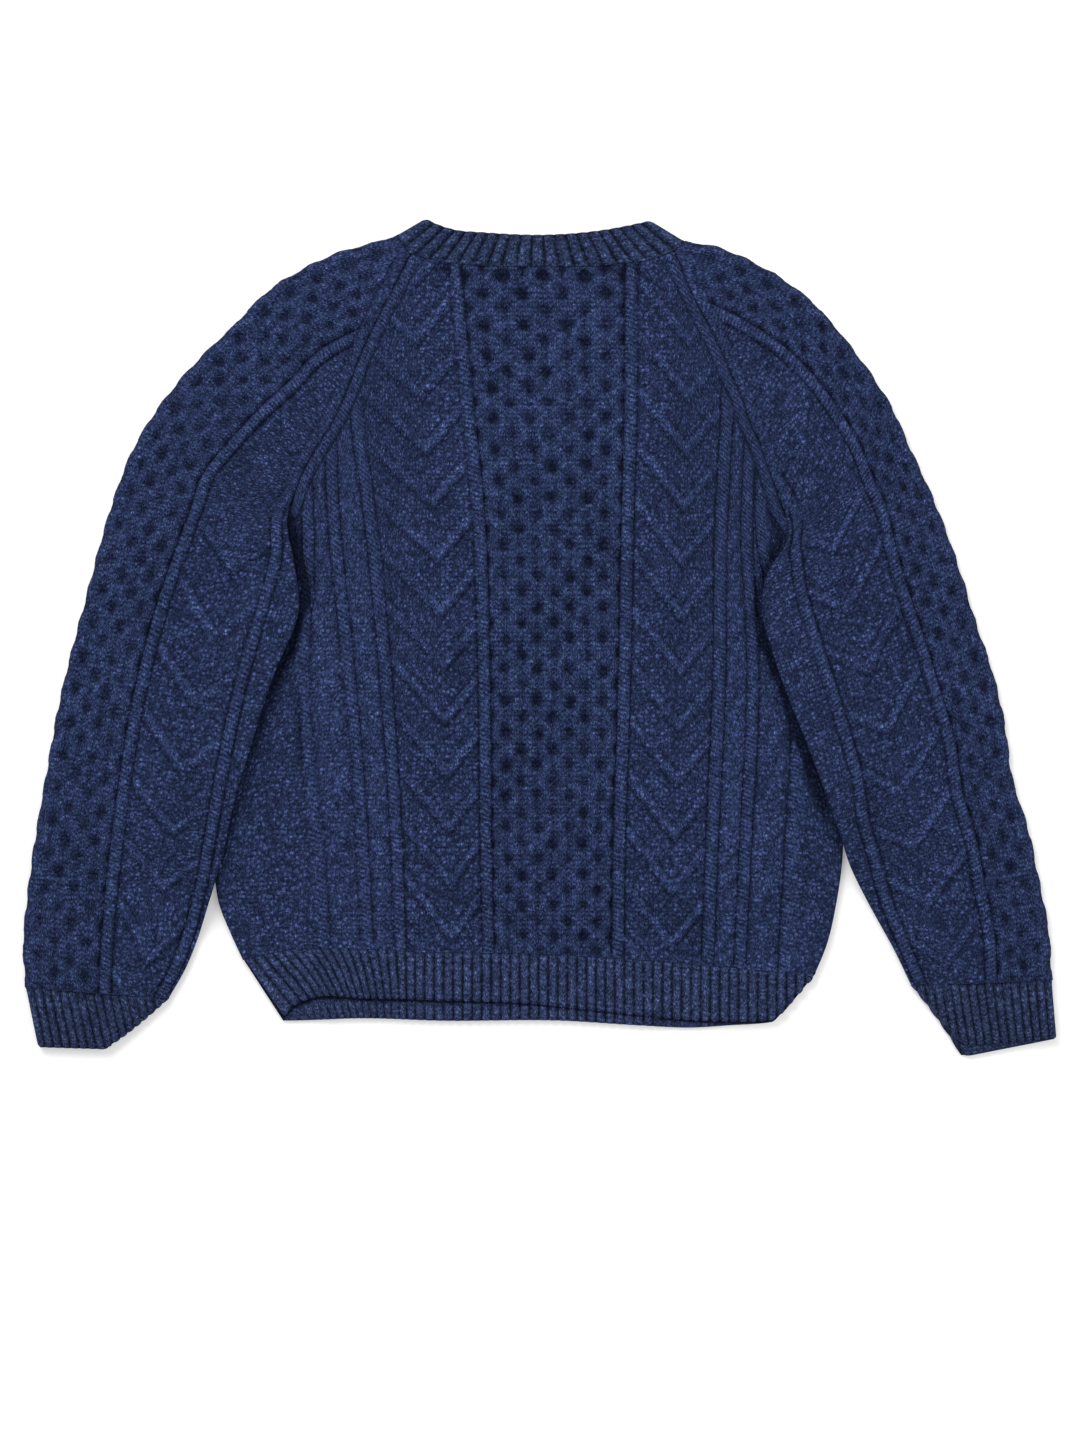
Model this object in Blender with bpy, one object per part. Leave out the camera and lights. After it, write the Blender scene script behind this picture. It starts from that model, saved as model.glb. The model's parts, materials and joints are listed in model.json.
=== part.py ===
"""A navy aran pullover laid flat, face down, on a level surface.

It is knitted in raglan pieces: a patterned back over a front, two sleeves whose inner halves lie on
the body's sides, and ribbed bands at the neck, hem and cuffs. Each piece is a wall of cloth. Its outer
face carries the raised stitches and its inner face is plain. A face is a fan of wales, the columns of
stitches, and each wale has only the points that its own pattern needs.

Frame: metres in the scene, millimetres here. +X is the right, +Y is the neck and +Z is up. The origin
is on the surface, under the middle of the pullover.
"""

import math
from functools import partial

import bpy
import numpy as np

MM = 0.001

# The cloth
WALL = 4.0
HOLLOW = 1.0  # between the two layers
FOLD = WALL + HOLLOW / 2  # outer radius of a side fold, so also the height of its middle
SEAM_GAP = 0.5
NECK_GAP = 1.3  # where the neckband folds round the sleeve's narrow end
SIDE_GAP = 0.2  # how far a panel's side fold stays inside the outline
PUFF = 2.4  # how far the upper layer rises in the middle of a panel
PUFF_EDGE, PUFF_RAMP = 35.0, 60.0  # level margin at a panel's sides, and the run of the rise beyond it
PUFF_LOW, PUFF_HIGH = -265.0, 300.0  # y of its ends
SLEEVE_PUFF_EDGE, SLEEVE_PUFF_RAMP = 14.0, 40.0

# Raised stitches, heights above the cloth
ROPE_HEIGHT, ROPE_HALF = 2.2, 5.0
COMB_RIDGE, COMB_PIT, COMB_STEP, SLEEVE_COMB_STEP = 2.0, -1.1, 13.2, 14.2
CHEVRON_HEIGHT = 2.3
CHEVRON_ARM = (-5.5, -0.4), (0.0, CHEVRON_HEIGHT), (6.5, 0.3)  # across an arm: how far up, and how high
CHAIN_HEIGHT, CHAIN_HALF = 1.9, 4.6
CABLE_HEIGHT, CABLE_STEP = 1.7, 12.5
BRAID_HEIGHT, BRAID_STEP = 1.5, 21.0
RIB_HEIGHT, BODY_RIB = 1.8, 8.0
CUFF_RIBS, NECK_RIBS = 13, 21  # on the upper layer alone
ROLL = 1.2  # how many half ribs a flat tube or strip takes to roll round its fold
HEM_LEDGE = 0.08, 0.74  # shares of the hem's width between which the front layer shows past the back
# Stacked V shapes: period, height of a vertex, its share across the panel, and rise over a whole panel
CHEVRON_LEFT, CHEVRON_RIGHT = (45.6, 23.5, 0.60, 88.0), (46.2, 20.2, 0.60, 88.0)
SLEEVE_CHEVRON_LEFT, SLEEVE_CHEVRON_RIGHT = (56.0, 34.0, 0.60, 74.0), (57.0, 22.0, 0.60, 74.0)
SLEEVE_PANEL = 75.0  # between the inner sides of a sleeve's two ropes
UNDERARM = 12.0  # least width between a sleeve's second rope and its inner edge
SEAM_RISE = 0.3  # how far a wale's ends stand above the level cloth
SCALLOP = 0.45  # how much of the honeycomb's relief shows along a sleeve's outer fold

# Steps between the points of plain runs
SEAM_STEP = 8.0  # longest straight run of a curved seam
ROPE_STEP, MOSS_STEP = 38.0, 45.0
BAND_STEPS = (0.0, 0.5, 1.0)  # up a ribbed band, from its free edge to its seam

NAVY, NAVY_RIB = (0.022, 0.033, 0.081), (0.019, 0.029, 0.074)
WOOL_ROUGHNESS = 0.95

# Where a sleeve lies on the body it climbs this high, over this run outside the side fold
LIFT, LIFT_RUN, ARMPIT_RAMP = 12.4, 32.0, 27.0

# Outline of the body, x and y, from the armpit down to the hem's seam
SIDE_LEFT = [
    (-210, 110), (-210, 98), (-210, 84), (-213, 68), (-220, 50), (-234, 14), (-249, -34),
    (-264, -93), (-272, -152), (-274, -196), (-270, -223), (-261, -246), (-249, -272),
]
SIDE_RIGHT = [
    (206, 104), (205, 92), (204, 79), (205, 66), (208, 50), (214, 24), (229, -18),
    (244, -68), (252, -127), (255, -177), (250, -219), (240, -261), (232, -280),
]
# Raglan seams, from the armpit up to the neck
RAGLAN_LEFT = [
    (-210, 110), (-203, 132), (-190, 157), (-175, 181), (-162, 209),
    (-151, 238), (-141, 260), (-131, 280), (-121, 299), (-109, 323),
]
RAGLAN_RIGHT = [
    (206, 104), (194, 138), (186, 161), (176, 184), (170, 202),
    (161, 222), (152, 243), (142, 263), (132, 282), (122, 304), (113, 326),
]
# Neck and hem lines, from left to right
NECK_BACK = [(-109, 323), (-88, 318), (-67, 315), (0, 313), (67, 315), (97, 320), (113, 326)]
NECK_FRONT = [
    (-115, 309), (-109, 291), (-91, 268), (-55, 252), (0, 247),
    (55, 252), (92, 268), (110, 291), (118, 312),
]
BAND_BACK = [(-97, 354), (-87, 349), (-71, 344), (-49, 342), (9, 340), (54, 344), (76, 348), (94, 352)]
BAND_FRONT = [
    (-97, 354), (-91, 331), (-77, 306), (-50, 285), (0, 276),
    (50, 285), (77, 306), (90, 331), (94, 352),
]
HEM_SEAM = [
    (-249, -270), (-222, -263), (-190, -260), (-101, -263), (3, -265),
    (101, -271), (171, -277), (205, -280), (232, -281),
]
HEM_BACK = [
    (-216, -319), (-208, -309), (-196, -303), (-143, -302), (-76, -304), (-16, -306),
    (53, -313), (99, -318), (144, -321), (185, -321), (204, -319),
]
HEM_FRONT = [
    (-216, -321), (-208, -321), (-151, -319), (-84, -321), (17, -321),
    (84, -325), (126, -327), (160, -325), (190, -323), (204, -321),
]

# The body's raised columns: x of each rope at five heights
ROPES = [
    # y, then ropes d, a, b, c left of the middle and c, b, a, d right of it
    (-272, -181, -144, -117, -43, 65, 141, 168, 205),
    (-186, -186, -148, -120, -45, 66, 144, 172, 210),
    (-18, -199, -161, -131, -47, 71, 151, 179, 213),
    (84, -195, -172, -141, -50, 73, 152, 174, 187),
    (201, -200, -178, -156, -61, 76, 158, 178, 192),
    (330, -205, -190, -168, -73, 76, 162, 180, 195),
]
FOLD_LAYERS = (0.0, 0.29, 1.0)  # how deep in a side fold its wales lie, as shares of its radius
SPREAD = [0.1, 0.2, 0.3, 0.4, 0.5, 0.65, 0.8, 0.9]  # plain wales' shares of a sleeve's width
COMB_LEFT, COMB_RIGHT = [0.05, 0.2, 0.4, 0.6, 0.8], [0.08, 0.3, 0.55, 0.8]  # between outer fold and rope
# The pattern between each pair of neighbouring ropes, and between the outer ones and the sides
BANDS = ["moss", "braid", "cable", "chevron", "comb", "chevron", "cable", "braid", "moss"]

# A sleeve's sections from the cuff's seam to the neck
SLEEVE_LEFT = [
    # outer fold x, y; inner fold or seam x, y; distance of the first rope from the outer fold
    (-433, -293, -312, -302, 68),
    (-435, -261, -297, -275, 71),
    (-431, -211, -276, -217, 71),
    (-423, -156, -264, -173, 69),
    (-415, -110, -255, -133, 67),
    (-406, -60, -240, -83, 66),
    (-393, -5, -222, -28, 65),
    (-380, 43, -202, 24, 66),
    (-370, 81, -206, 64, 69),
    (-359, 118, -212, 95, 71),
    (-344, 157, -210, 110, 68),
    (-319, 198, -203, 132, 71),
    (-290, 233, -190, 157, 72),
    (-258, 264, -175, 181, 72),
    (-228, 294, -162, 209, 72),
    (-197, 313, -151, 238, 72),
    (-168, 326, -141, 260, 72),
    (-143, 333, -131, 280, 72),
    (-121, 340, -109, 323, 72),
]
SLEEVE_RIGHT = [
    (431, -287, 312, -291, 52),
    (428, -244, 297, -260, 51),
    (420, -202, 276, -222, 51),
    (411, -160, 260, -191, 50),
    (398, -118, 250, -160, 49),
    (391, -70, 237, -124, 50),
    (381, -28, 223, -87, 52),
    (367, 14, 208, -50, 51),
    (354, 56, 195, -12, 52),
    (340, 96, 186, 24, 50),
    (327, 128, 190, 54, 45),
    (312, 160, 206, 80, 45),
    (294, 199, 206, 104, 46),
    (274, 230, 194, 138, 46),
    (250, 261, 182, 170, 47),
    (228, 285, 170, 202, 50),
    (203, 304, 157, 232, 52),
    (176, 319, 145, 256, 52),
    (149, 330, 132, 282, 52),
    (122, 335, 113, 326, 52),
]
FRONT_NECK_LEFT, FRONT_NECK_RIGHT = (-115, 309), (118, 312)
TABLES_MIDDLE = (-0.2, 1.7)  # the middle of the outlines above, which the origin lies under
# Free edge of each cuff: outer fold, inner fold, and how far the under layer shows beyond the upper
CUFF_LEFT = (-423, -343, -359, -345, 0)
CUFF_RIGHT = (435, -336, 354, -342, 10)


def smooth(values, at, knots):
    """The table's columns at the places `at`, on one smooth curve through its rows."""
    values = np.asarray(values, float)
    knots = np.asarray(knots, float)
    slopes = np.gradient(values, knots, axis=0)
    at = np.clip(np.atleast_1d(at).astype(float), knots[0], knots[-1])
    row = np.clip(np.searchsorted(knots, at) - 1, 0, len(knots) - 2)
    span = (knots[row + 1] - knots[row])[:, None]
    t = (at[:, None] - knots[row][:, None]) / span
    start, end = values[row], values[row + 1]
    bend = t * (1 - t) * ((1 - t) * (slopes[row] * span - (end - start)))
    return start + t * (end - start) + bend - t * t * (1 - t) * (slopes[row + 1] * span - (end - start))


def ease(t):
    """0 up to 1 with level ends."""
    t = np.clip(t, 0, 1)
    return t * t * (3 - 2 * t)


def traced(points, count=240):
    """Points at even steps of a smooth curve through a table of x and y."""
    points = np.asarray(points, float)
    reach = np.concatenate([[0], np.cumsum(np.hypot(*np.diff(points, axis=0).T))])
    return smooth(points, np.linspace(0, reach[-1], count), reach)


def evenly(curve, count=240):
    """The curve's points at even steps."""
    reach = np.concatenate([[0], np.cumsum(np.hypot(*np.diff(curve, axis=0).T))])
    at = np.linspace(0, reach[-1], count)
    return np.column_stack([np.interp(at, reach, curve[:, 0]), np.interp(at, reach, curve[:, 1])])


def inset(curve, distance):
    """The curve moved to its right-hand side by a distance."""
    ahead = np.gradient(curve, axis=0)
    ahead /= np.linalg.norm(ahead, axis=1)[:, None]
    return curve + distance * np.column_stack([ahead[:, 1], -ahead[:, 0]])


def x_of(curve, y):
    order = np.argsort(curve[:, 1])
    return np.interp(y, curve[order, 1], curve[order, 0])


def y_of(curve, x):
    order = np.argsort(curve[:, 0])
    return np.interp(x, curve[order, 0], curve[order, 1])


class Line(list):
    """Numbered points with their places along a line, and how far a slanting pattern has shifted them."""

    shift = None


class Cloth:
    """Gathers the points and triangles of one piece."""

    def __init__(self):
        self.points = []
        self.faces = []

    def line(self, points, places, shift=None):
        """A row of points, and how far along its neighbours each of them lies."""
        first = len(self.points)
        self.points.extend(points)
        made = Line((first + i, float(place)) for i, place in enumerate(places))
        made.shift = shift
        return made

    def sew(self, a, b, slant=0.0):
        """Fills the strip between two lines, and runs its diagonals along the ridges."""
        b = [(point, place - slant) for point, place in b]
        i = j = 0
        while i < len(a) - 1 or j < len(b) - 1:
            if i == len(a) - 1:
                step_a = False
            elif j == len(b) - 1:
                step_a = True
            else:
                near = abs(a[i + 1][1] - b[j + 1][1])
                length = min(a[i + 1][1] - a[i][1], b[j + 1][1] - b[j][1])
                if near < 0.35 * length:
                    over_a = self.points[a[i + 1][0]][2] + self.points[b[j][0]][2]
                    over_b = self.points[a[i][0]][2] + self.points[b[j + 1][0]][2]
                    step_a = over_a >= over_b
                else:
                    step_a = a[i + 1][1] < b[j + 1][1]
            if step_a:
                self.faces.append((a[i][0], b[j][0], a[i + 1][0]))
                i += 1
            else:
                self.faces.append((a[i][0], b[j][0], b[j + 1][0]))
                j += 1

    def joins(self, lines, seam_points):
        """Points on the upper edge between each two lines, where their ends are far apart."""
        found = []
        for a, b in zip(lines, lines[1:]):
            points, places = seam_points(a, b)
            found.append(self.line(points, places))
        return found

    def sheet(self, lines, joins):
        for a, b, between in zip(lines, lines[1:], joins):
            slanting = a.shift is not None and b.shift is not None
            slant = b.shift - a.shift if slanting else 0.0
            if a[-1][1] <= b[-1][1]:
                self.sew(a + between, b, slant)
            else:
                self.sew(a, b + between[::-1], slant)

    def rim(self, lines, joins=None):
        """The lines' first points, or their last ones with the joins, placed by their share of the way."""
        if joins is None:
            ids = [line[0][0] for line in lines]
        else:
            ids = [lines[0][-1][0]]
            for line, between in zip(lines[1:], joins):
                ids += [point for point, _ in between] + [line[-1][0]]
        spots = np.array([self.points[i][:2] for i in ids], float)
        reach = np.concatenate([[0], np.cumsum(np.hypot(*np.diff(spots, axis=0).T) + 1e-6)])
        return list(zip(ids, reach / reach[-1]))

    def close(self, outer, inner, outer_joins, inner_joins):
        """Both faces and the rims along their first and last points."""
        self.sheet(outer, outer_joins)
        self.sheet(inner[::-1], [between[::-1] for between in inner_joins[::-1]])
        self.sew(self.rim(outer), self.rim(inner))
        self.sew(self.rim(inner, inner_joins), self.rim(outer, outer_joins))

    def wall(self, outer, inner, seam_points=None):
        """Closes a wall between its outer lines and its inner ones, both from left to right."""
        seam_points = seam_points or no_points
        self.close(outer, inner, self.joins(outer, seam_points), self.joins(inner, seam_points))
        self.sew(inner[0], outer[0])
        self.sew(outer[-1], inner[-1])

    def tube(self, outer, inner, outer_points=None, inner_points=None):
        """Closes a ring of cloth whose lines run all round it."""
        outer, inner = outer + outer[:1], inner + inner[:1]
        outer_joins = self.joins(outer, outer_points or no_points)
        self.close(outer, inner, outer_joins, self.joins(inner, inner_points or no_points))

    def make(self, name, colour, roughness):
        """The finished object, turned so that its faces point out."""
        points = np.array(self.points, float) - [*TABLES_MIDDLE, 0]
        faces = np.array([f for f in self.faces if len(set(f)) == 3])
        if np.linalg.det(points[faces]).sum() < 0:
            faces = faces[:, ::-1]
        mesh = bpy.data.meshes.new(name)
        mesh.from_pydata((points * MM).tolist(), [], faces.tolist())
        mesh.validate()
        mesh.shade_smooth()
        mesh.set_sharp_from_angle(angle=math.radians(50))
        mesh.materials.append(wool(name, colour, roughness))
        piece = bpy.data.objects.new(name, mesh)
        bpy.context.scene.collection.objects.link(piece)
        return piece


def no_points(_a, _b):
    return [], []


def wool(name, colour, roughness):
    material = bpy.data.materials.new(name + "_wool")
    material.use_nodes = True
    shader = material.node_tree.nodes["Principled BSDF"]
    shader.inputs["Base Color"].default_value = (*colour, 1)
    shader.inputs["Roughness"].default_value = roughness
    shader.inputs["Metallic"].default_value = 0.0
    material.diffuse_color = (*colour, 1)
    return material


side_left, side_right = traced(SIDE_LEFT), traced(SIDE_RIGHT)
raglan_left, raglan_right = traced(RAGLAN_LEFT), traced(RAGLAN_RIGHT)
hem_seam = traced(HEM_SEAM)
ARMPIT_LEFT, ARMPIT_RIGHT = SIDE_LEFT[0][1], SIDE_RIGHT[0][1]


def columns(y):
    """x of the left side, the eight ropes and the right side at the height y."""
    table = np.array(ROPES, float)
    ropes = smooth(table[:, 1:], y, table[:, 0])[0]
    left = x_of(side_left, min(y, ARMPIT_LEFT)) - 0.02 * max(y - ARMPIT_LEFT, 0)
    right = x_of(side_right, min(y, ARMPIT_RIGHT)) + 0.02 * max(y - ARMPIT_RIGHT, 0)
    return np.concatenate([[left], ropes, [right]])


def top_edge(neck):
    """The body's upper edge from armpit to armpit, a seam's half gap inside the line."""
    low_left, low_right = neck[0][1], neck[-1][1]
    left = [p for p in RAGLAN_LEFT if p[1] < low_left - 4]
    right = [p for p in RAGLAN_RIGHT if p[1] < low_right - 4][::-1]
    runs = [traced(left + [neck[0]]), traced(neck)[1:], traced([neck[-1]] + right)[1:]]
    return inset(np.concatenate(runs), SEAM_GAP / 2)


def wale(place, low, high):
    """Lowest and highest y of the wale whose x at any height is place(y)."""
    bottom, top = -260.0, 250.0
    for _ in range(36):
        bottom = float(y_of(low, place(bottom)))
        top += 0.35 * (float(y_of(high, place(top))) - top)
    return bottom, top


def lattice(low, high, step, odd, heights):
    """Points at a step, alternating between two heights, clear of both ends."""
    first = math.ceil((low + 0.6 * step) / step)
    last = math.floor((high - 0.6 * step) / step)
    return [(n * step, heights[(n + odd) % 2]) for n in range(first, last + 1)]


def arm_shift(chevron, across):
    """How far above the vertex the V has risen at a place across its panel, from 0 to 1."""
    _period, _vertex, middle, rise = chevron
    return rise * abs(across - middle)


def arms(low, high, chevron, across):
    """Points of one wale across the arms of stacked chevrons: foot, crest and foot of each arm."""
    period, vertex, _middle, _rise = chevron
    start = vertex + arm_shift(chevron, across)
    found = []
    for n in range(math.floor((low - start) / period), math.ceil((high - start) / period) + 1):
        found += [(start + n * period + up, height) for up, height in CHEVRON_ARM]
    return [(y, h) for y, h in found if low + 3 < y < high - 3]


def pattern_points(kind, chevron, across, odd, low, high):
    """The heights along one wale of a pattern. `across` is its place in the band, from 0 to 1."""
    if kind in ("rope", "foot"):
        height = ROPE_HEIGHT if kind == "rope" else 0.0
        count = max(1, round((high - low) / ROPE_STEP))
        return [(y, height) for y in np.linspace(low + 3, high - 3, count + 1)]
    if kind == "comb":
        return lattice(low, high, COMB_STEP, odd, (COMB_PIT, COMB_RIDGE))
    if kind == "cable":
        return lattice(low, high, CABLE_STEP, odd, (0.2, CABLE_HEIGHT))
    if kind == "braid":
        return lattice(low, high, BRAID_STEP, odd, (0.3, BRAID_HEIGHT))
    if kind == "chevron":
        return arms(low, high, chevron, across)
    count = max(1, round((high - low) / MOSS_STEP))
    return [(y, 0.0) for y in np.linspace(low, high, count + 1)[1:-1]]


BAND_WALES = {
    # where a band's wales lie across it
    "comb": [n / 8 for n in range(1, 8)],
    "cable": [0.32, 0.68],
    "braid": [0.22, 0.5, 0.78],
    "chevron": [0.06, 0.24, 0.42, 0.60, 0.77, 0.94],
    "moss": [0.3, 0.7],
}


def body_puff(x, y):
    """Rise of the back in broad soft swells that die out at its edges."""
    left, right = x_of(side_left, min(y, 80)), x_of(side_right, min(y, 80))
    sides = ease((x - left - PUFF_EDGE) / PUFF_RAMP) * ease((right - x - PUFF_EDGE) / PUFF_RAMP)
    ends = ease((y - PUFF_LOW) / PUFF_RAMP) * ease((PUFF_HIGH - y) / PUFF_RAMP)
    swell = 0.55 + 0.25 * math.sin(x / 47 + y / 90) + 0.2 * math.sin(y / 61 - x / 80 + 1)
    return PUFF * sides * ends * swell


def rope_x(y, rope):
    return columns(y)[rope]


def band_x(y, band, share):
    """x of a share of the way across a band, between its ropes' feet or inside a side fold."""
    across = columns(y)
    width = across[band + 1] - across[band]
    left = across[band] + min(ROPE_HALF if band > 0 else 2 * FOLD, 0.3 * width)
    right = across[band + 1] - min(ROPE_HALF if band < len(BANDS) - 1 else 2 * FOLD, 0.3 * width)
    return left + share * (right - left)


def body_wales():
    """Each raised wale of the back: its x at a height, its pattern, band, share across and number."""
    found = []
    for band, kind in enumerate(BANDS):
        if band > 0:
            found.append((partial(rope_x, rope=band), "rope", band, 0.0, 0))
            found.append((partial(band_x, band=band, share=0.0), "foot", band, 0.0, 0))
        for number, share in enumerate(BAND_WALES[kind]):
            found.append((partial(band_x, band=band, share=share), kind, band, share, number))
        if band < len(BANDS) - 1:
            found.append((partial(band_x, band=band, share=1.0), "foot", band, 1.0, 0))
    return found


def chain_points(edge, x, top):
    """The chain of stitches beside a raglan seam: its foot and crest, below the wale's end."""
    if NECK_BACK[0][0] - 1 < x < NECK_BACK[-1][0] + 1:
        return []
    slope = abs(float(y_of(edge, x + 1.5) - y_of(edge, x - 1.5))) / 3
    drop = CHAIN_HALF * math.hypot(1, slope)
    return [(top - 2 * drop, 0.2), (top - drop, CHAIN_HEIGHT)]


def back_lines(cloth):
    """The outer lines of the back, from the left fold to the right one."""
    low, high = hem_seam + [0, SEAM_GAP / 2], top_edge(NECK_BACK)
    lines = side_fold(cloth, side_left, 1)
    for place, kind, band, share, number in body_wales():
        bottom, top = wale(place, low, high)
        chain = chain_points(high, place(top), top)
        stop = chain[0][0] - 2.0 if chain else top
        chevron = CHEVRON_LEFT if band < len(BANDS) // 2 else CHEVRON_RIGHT
        rows = pattern_points(kind, chevron, share, number, bottom, stop)
        rows = [(bottom, SEAM_RISE)] + rows + chain + [(top, SEAM_RISE)]
        points = [(place(y), y, 2 * FOLD + body_puff(place(y), y) + h) for y, h in rows]
        shift = arm_shift(chevron, share) if kind == "chevron" else None
        lines.append(cloth.line(points, [y for y, _ in rows], shift))
    return lines + side_fold(cloth, side_right, -1)[::-1]


def hem_y(x):
    return float(y_of(hem_seam, x)) + SEAM_GAP / 2


def side_fold(cloth, side, inward, upper=True):
    """Lines of a panel's outer face round a side fold, from the mid-plane to the level face."""
    high = top_edge(NECK_BACK if upper else NECK_FRONT)
    lines = []
    for depth in np.array(FOLD_LAYERS) * FOLD:
        rise = max(math.sqrt(FOLD**2 - (FOLD - depth) ** 2), SEAM_GAP / 2)
        z = FOLD + rise if upper else FOLD - rise
        ys = np.linspace(side[-1, 1], side[0, 1], 16)
        xs = x_of(side, ys) + inward * (depth + SIDE_GAP)
        ys[0], ys[-1] = hem_y(xs[0]), y_of(high, xs[-1])
        lines.append(cloth.line([(x, y, z) for x, y in zip(xs, ys)], ys))
    return lines


def inside(y, share, depth):
    """x of a share of the way across a panel, between places at a depth inside its two folds."""
    across = columns(y)
    left, right = across[0] + depth + SIDE_GAP, across[-1] - depth - SIDE_GAP
    return left + share * (right - left)


def plain_lines(cloth, neck, z, count, depth):
    """A level face's wales, from a depth inside the left fold to the same inside the right one."""
    low, high = hem_seam + [0, SEAM_GAP / 2], top_edge(neck)
    lines = []
    for share in np.linspace(0, 1, count):
        place = partial(inside, share=share, depth=depth)
        ys = np.linspace(*wale(place, low, high), 12)
        xs = [place(y) for y in ys]
        rises = [body_puff(x, y) if z > FOLD else 0.0 for x, y in zip(xs, ys)]
        lines.append(cloth.line([(x, y, z + rise) for x, y, rise in zip(xs, ys, rises)], ys))
    return lines


def along_top(cloth, neck):
    """Gives a function for the points of a panel's upper edge between the ends of two wales."""
    high = top_edge(neck)

    def seam_points(a, b):
        start, end = np.array(cloth.points[a[-1][0]]), np.array(cloth.points[b[-1][0]])
        between = high[(high[:, 0] > start[0]) & (high[:, 0] < end[0])]
        count = int(np.hypot(*(end - start)[:2]) / SEAM_STEP)
        if count == 0 or len(between) == 0:
            return [], []
        spots = evenly(np.concatenate([[start[:2]], between, [end[:2]]]), count + 2)[1:-1]
        zs = np.linspace(start[2], end[2], count + 2)[1:-1]
        return [(x, y, z) for (x, y), z in zip(spots, zs)], list(spots[:, 1])

    return seam_points


def inner_lines(cloth, neck, z, mid):
    """A panel's plain inner face: the fold's inner edge, then level wales, then the other fold."""
    fold_in = plain_lines(cloth, neck, mid, 2, WALL)
    level = plain_lines(cloth, neck, z, 20, FOLD + 1.5)
    return fold_in[:1] + level + fold_in[1:]


def back_panel():
    cloth = Cloth()
    outer = back_lines(cloth)
    inner = inner_lines(cloth, NECK_BACK, FOLD + HOLLOW / 2, FOLD + SEAM_GAP / 2)
    cloth.wall(outer, inner, along_top(cloth, NECK_BACK))
    return cloth.make("back_panel", NAVY, WOOL_ROUGHNESS)


def front_panel():
    cloth = Cloth()
    left = side_fold(cloth, side_left, 1, upper=False)
    level = plain_lines(cloth, NECK_FRONT, 0.0, 20, 2.2 * FOLD)
    right = side_fold(cloth, side_right, -1, upper=False)[::-1]
    outer = left + level + right
    inner = inner_lines(cloth, NECK_FRONT, FOLD - HOLLOW / 2, FOLD - SEAM_GAP / 2)
    cloth.wall(inner, outer, along_top(cloth, NECK_FRONT))
    return cloth.make("front_panel", NAVY, WOOL_ROUGHNESS)


class Sleeve:
    """The map from a place along a sleeve and a distance in from its outer fold to x and y."""

    def __init__(self, rows, raglan, side, front_neck, armpit_row):
        table = np.array(rows, float)
        self.reach = np.concatenate([[0], np.cumsum(np.hypot(*np.diff(table[:, :2], axis=0).T))])
        self.raglan = raglan
        self.side = side
        self.sign = 1 if table[0, 0] < 0 else -1
        self.armpit = self.reach[armpit_row]
        self.length = self.reach[-1]
        front = table.copy()
        front[-1, 2:4] = front_neck
        self.tables = {"back": table, "front": front}
        self.steps = np.linspace(self.armpit, self.length, 200)
        self.widths = {layer: [self.width(s, layer) for s in self.steps] for layer in self.tables}

    def section(self, s, layer="back"):
        """Outer point, inner point and first rope's distance at s along the outer fold."""
        row = smooth(self.tables[layer], s, self.reach)[0]
        outer, inner = row[:2].copy(), row[2:4].copy()
        if s > self.armpit:
            inner[0] = x_of(self.raglan, inner[1])
        return outer, inner, row[4]

    def width(self, s, layer="back"):
        outer, inner, _ = self.section(s, layer)
        return float(np.hypot(*(inner - outer))) - SEAM_GAP / 2

    def end(self, w, layer="back"):
        """Where a wale at the distance w from the outer fold runs into the raglan seam."""
        steps, widths = self.steps, self.widths[layer]
        if w <= widths[-1]:
            return self.length - NECK_GAP
        beyond = next((i for i, width in enumerate(widths) if width < w), len(widths) - 1)
        if beyond == 0:
            return self.armpit
        before, after = widths[beyond - 1], widths[beyond]
        share = (before - w) / (before - after)
        return steps[beyond - 1] + share * (steps[beyond] - steps[beyond - 1])

    def place(self, s, w, layer="back"):
        """x, y and the cloth's lift over the body."""
        outer, inner, _ = self.section(s, layer)
        way = (inner - outer) / np.hypot(*(inner - outer))
        x, y = outer + way * w
        return x, y, self.lift(x, y)

    def lift(self, x, y):
        side_y = np.clip(y, self.side[-1, 1], self.side[0, 1])
        depth = self.sign * (x - float(x_of(self.side, side_y)))
        ramp = ease((self.side[0, 1] - y) / ARMPIT_RAMP)
        return LIFT * float(ease((depth + LIFT_RUN) / LIFT_RUN) * ramp)


def stadium(w, width, radius, inset_by, round_inner):
    """Height of a flattened tube's face above its middle, w in from its outer fold."""
    deep = w - inset_by
    if round_inner:
        deep = min(deep, width - inset_by - w)
    deep = min(max(deep, 0.0), radius)
    return math.sqrt(max(radius**2 - (radius - deep) ** 2, 0.0))


def sleeve_point(sleeve, s, w, layer, radius, inset_by, height=0.0, shift=0.0):
    """A point of a sleeve's face, `height` above the cloth and `shift` outside the outer fold."""
    width = sleeve.width(s, layer)
    w = min(w, width)
    x, y, lift = sleeve.place(s, w - shift, layer)
    level = stadium(w, width, radius, inset_by, s < sleeve.armpit + 3)
    if layer == "front":
        return x, y, FOLD - level + lift
    sides = (w - SLEEVE_PUFF_EDGE) / SLEEVE_PUFF_RAMP, (width - w - SLEEVE_PUFF_EDGE) / SLEEVE_PUFF_RAMP
    puff = PUFF * ease(sides[0]) * ease(sides[1])
    return x, y, FOLD + level + puff + height + lift


def sleeve_face(cloth, sleeve, w_of, layer, rows, radius, inset_by, slant=None):
    """One line of a sleeve: rows of (s, height of the raised stitches, shift outwards)."""
    points = [sleeve_point(sleeve, s, w_of(s), layer, radius, inset_by, h, shift) for s, h, shift in rows]
    return cloth.line(points, [row[0] for row in rows], slant)


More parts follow.
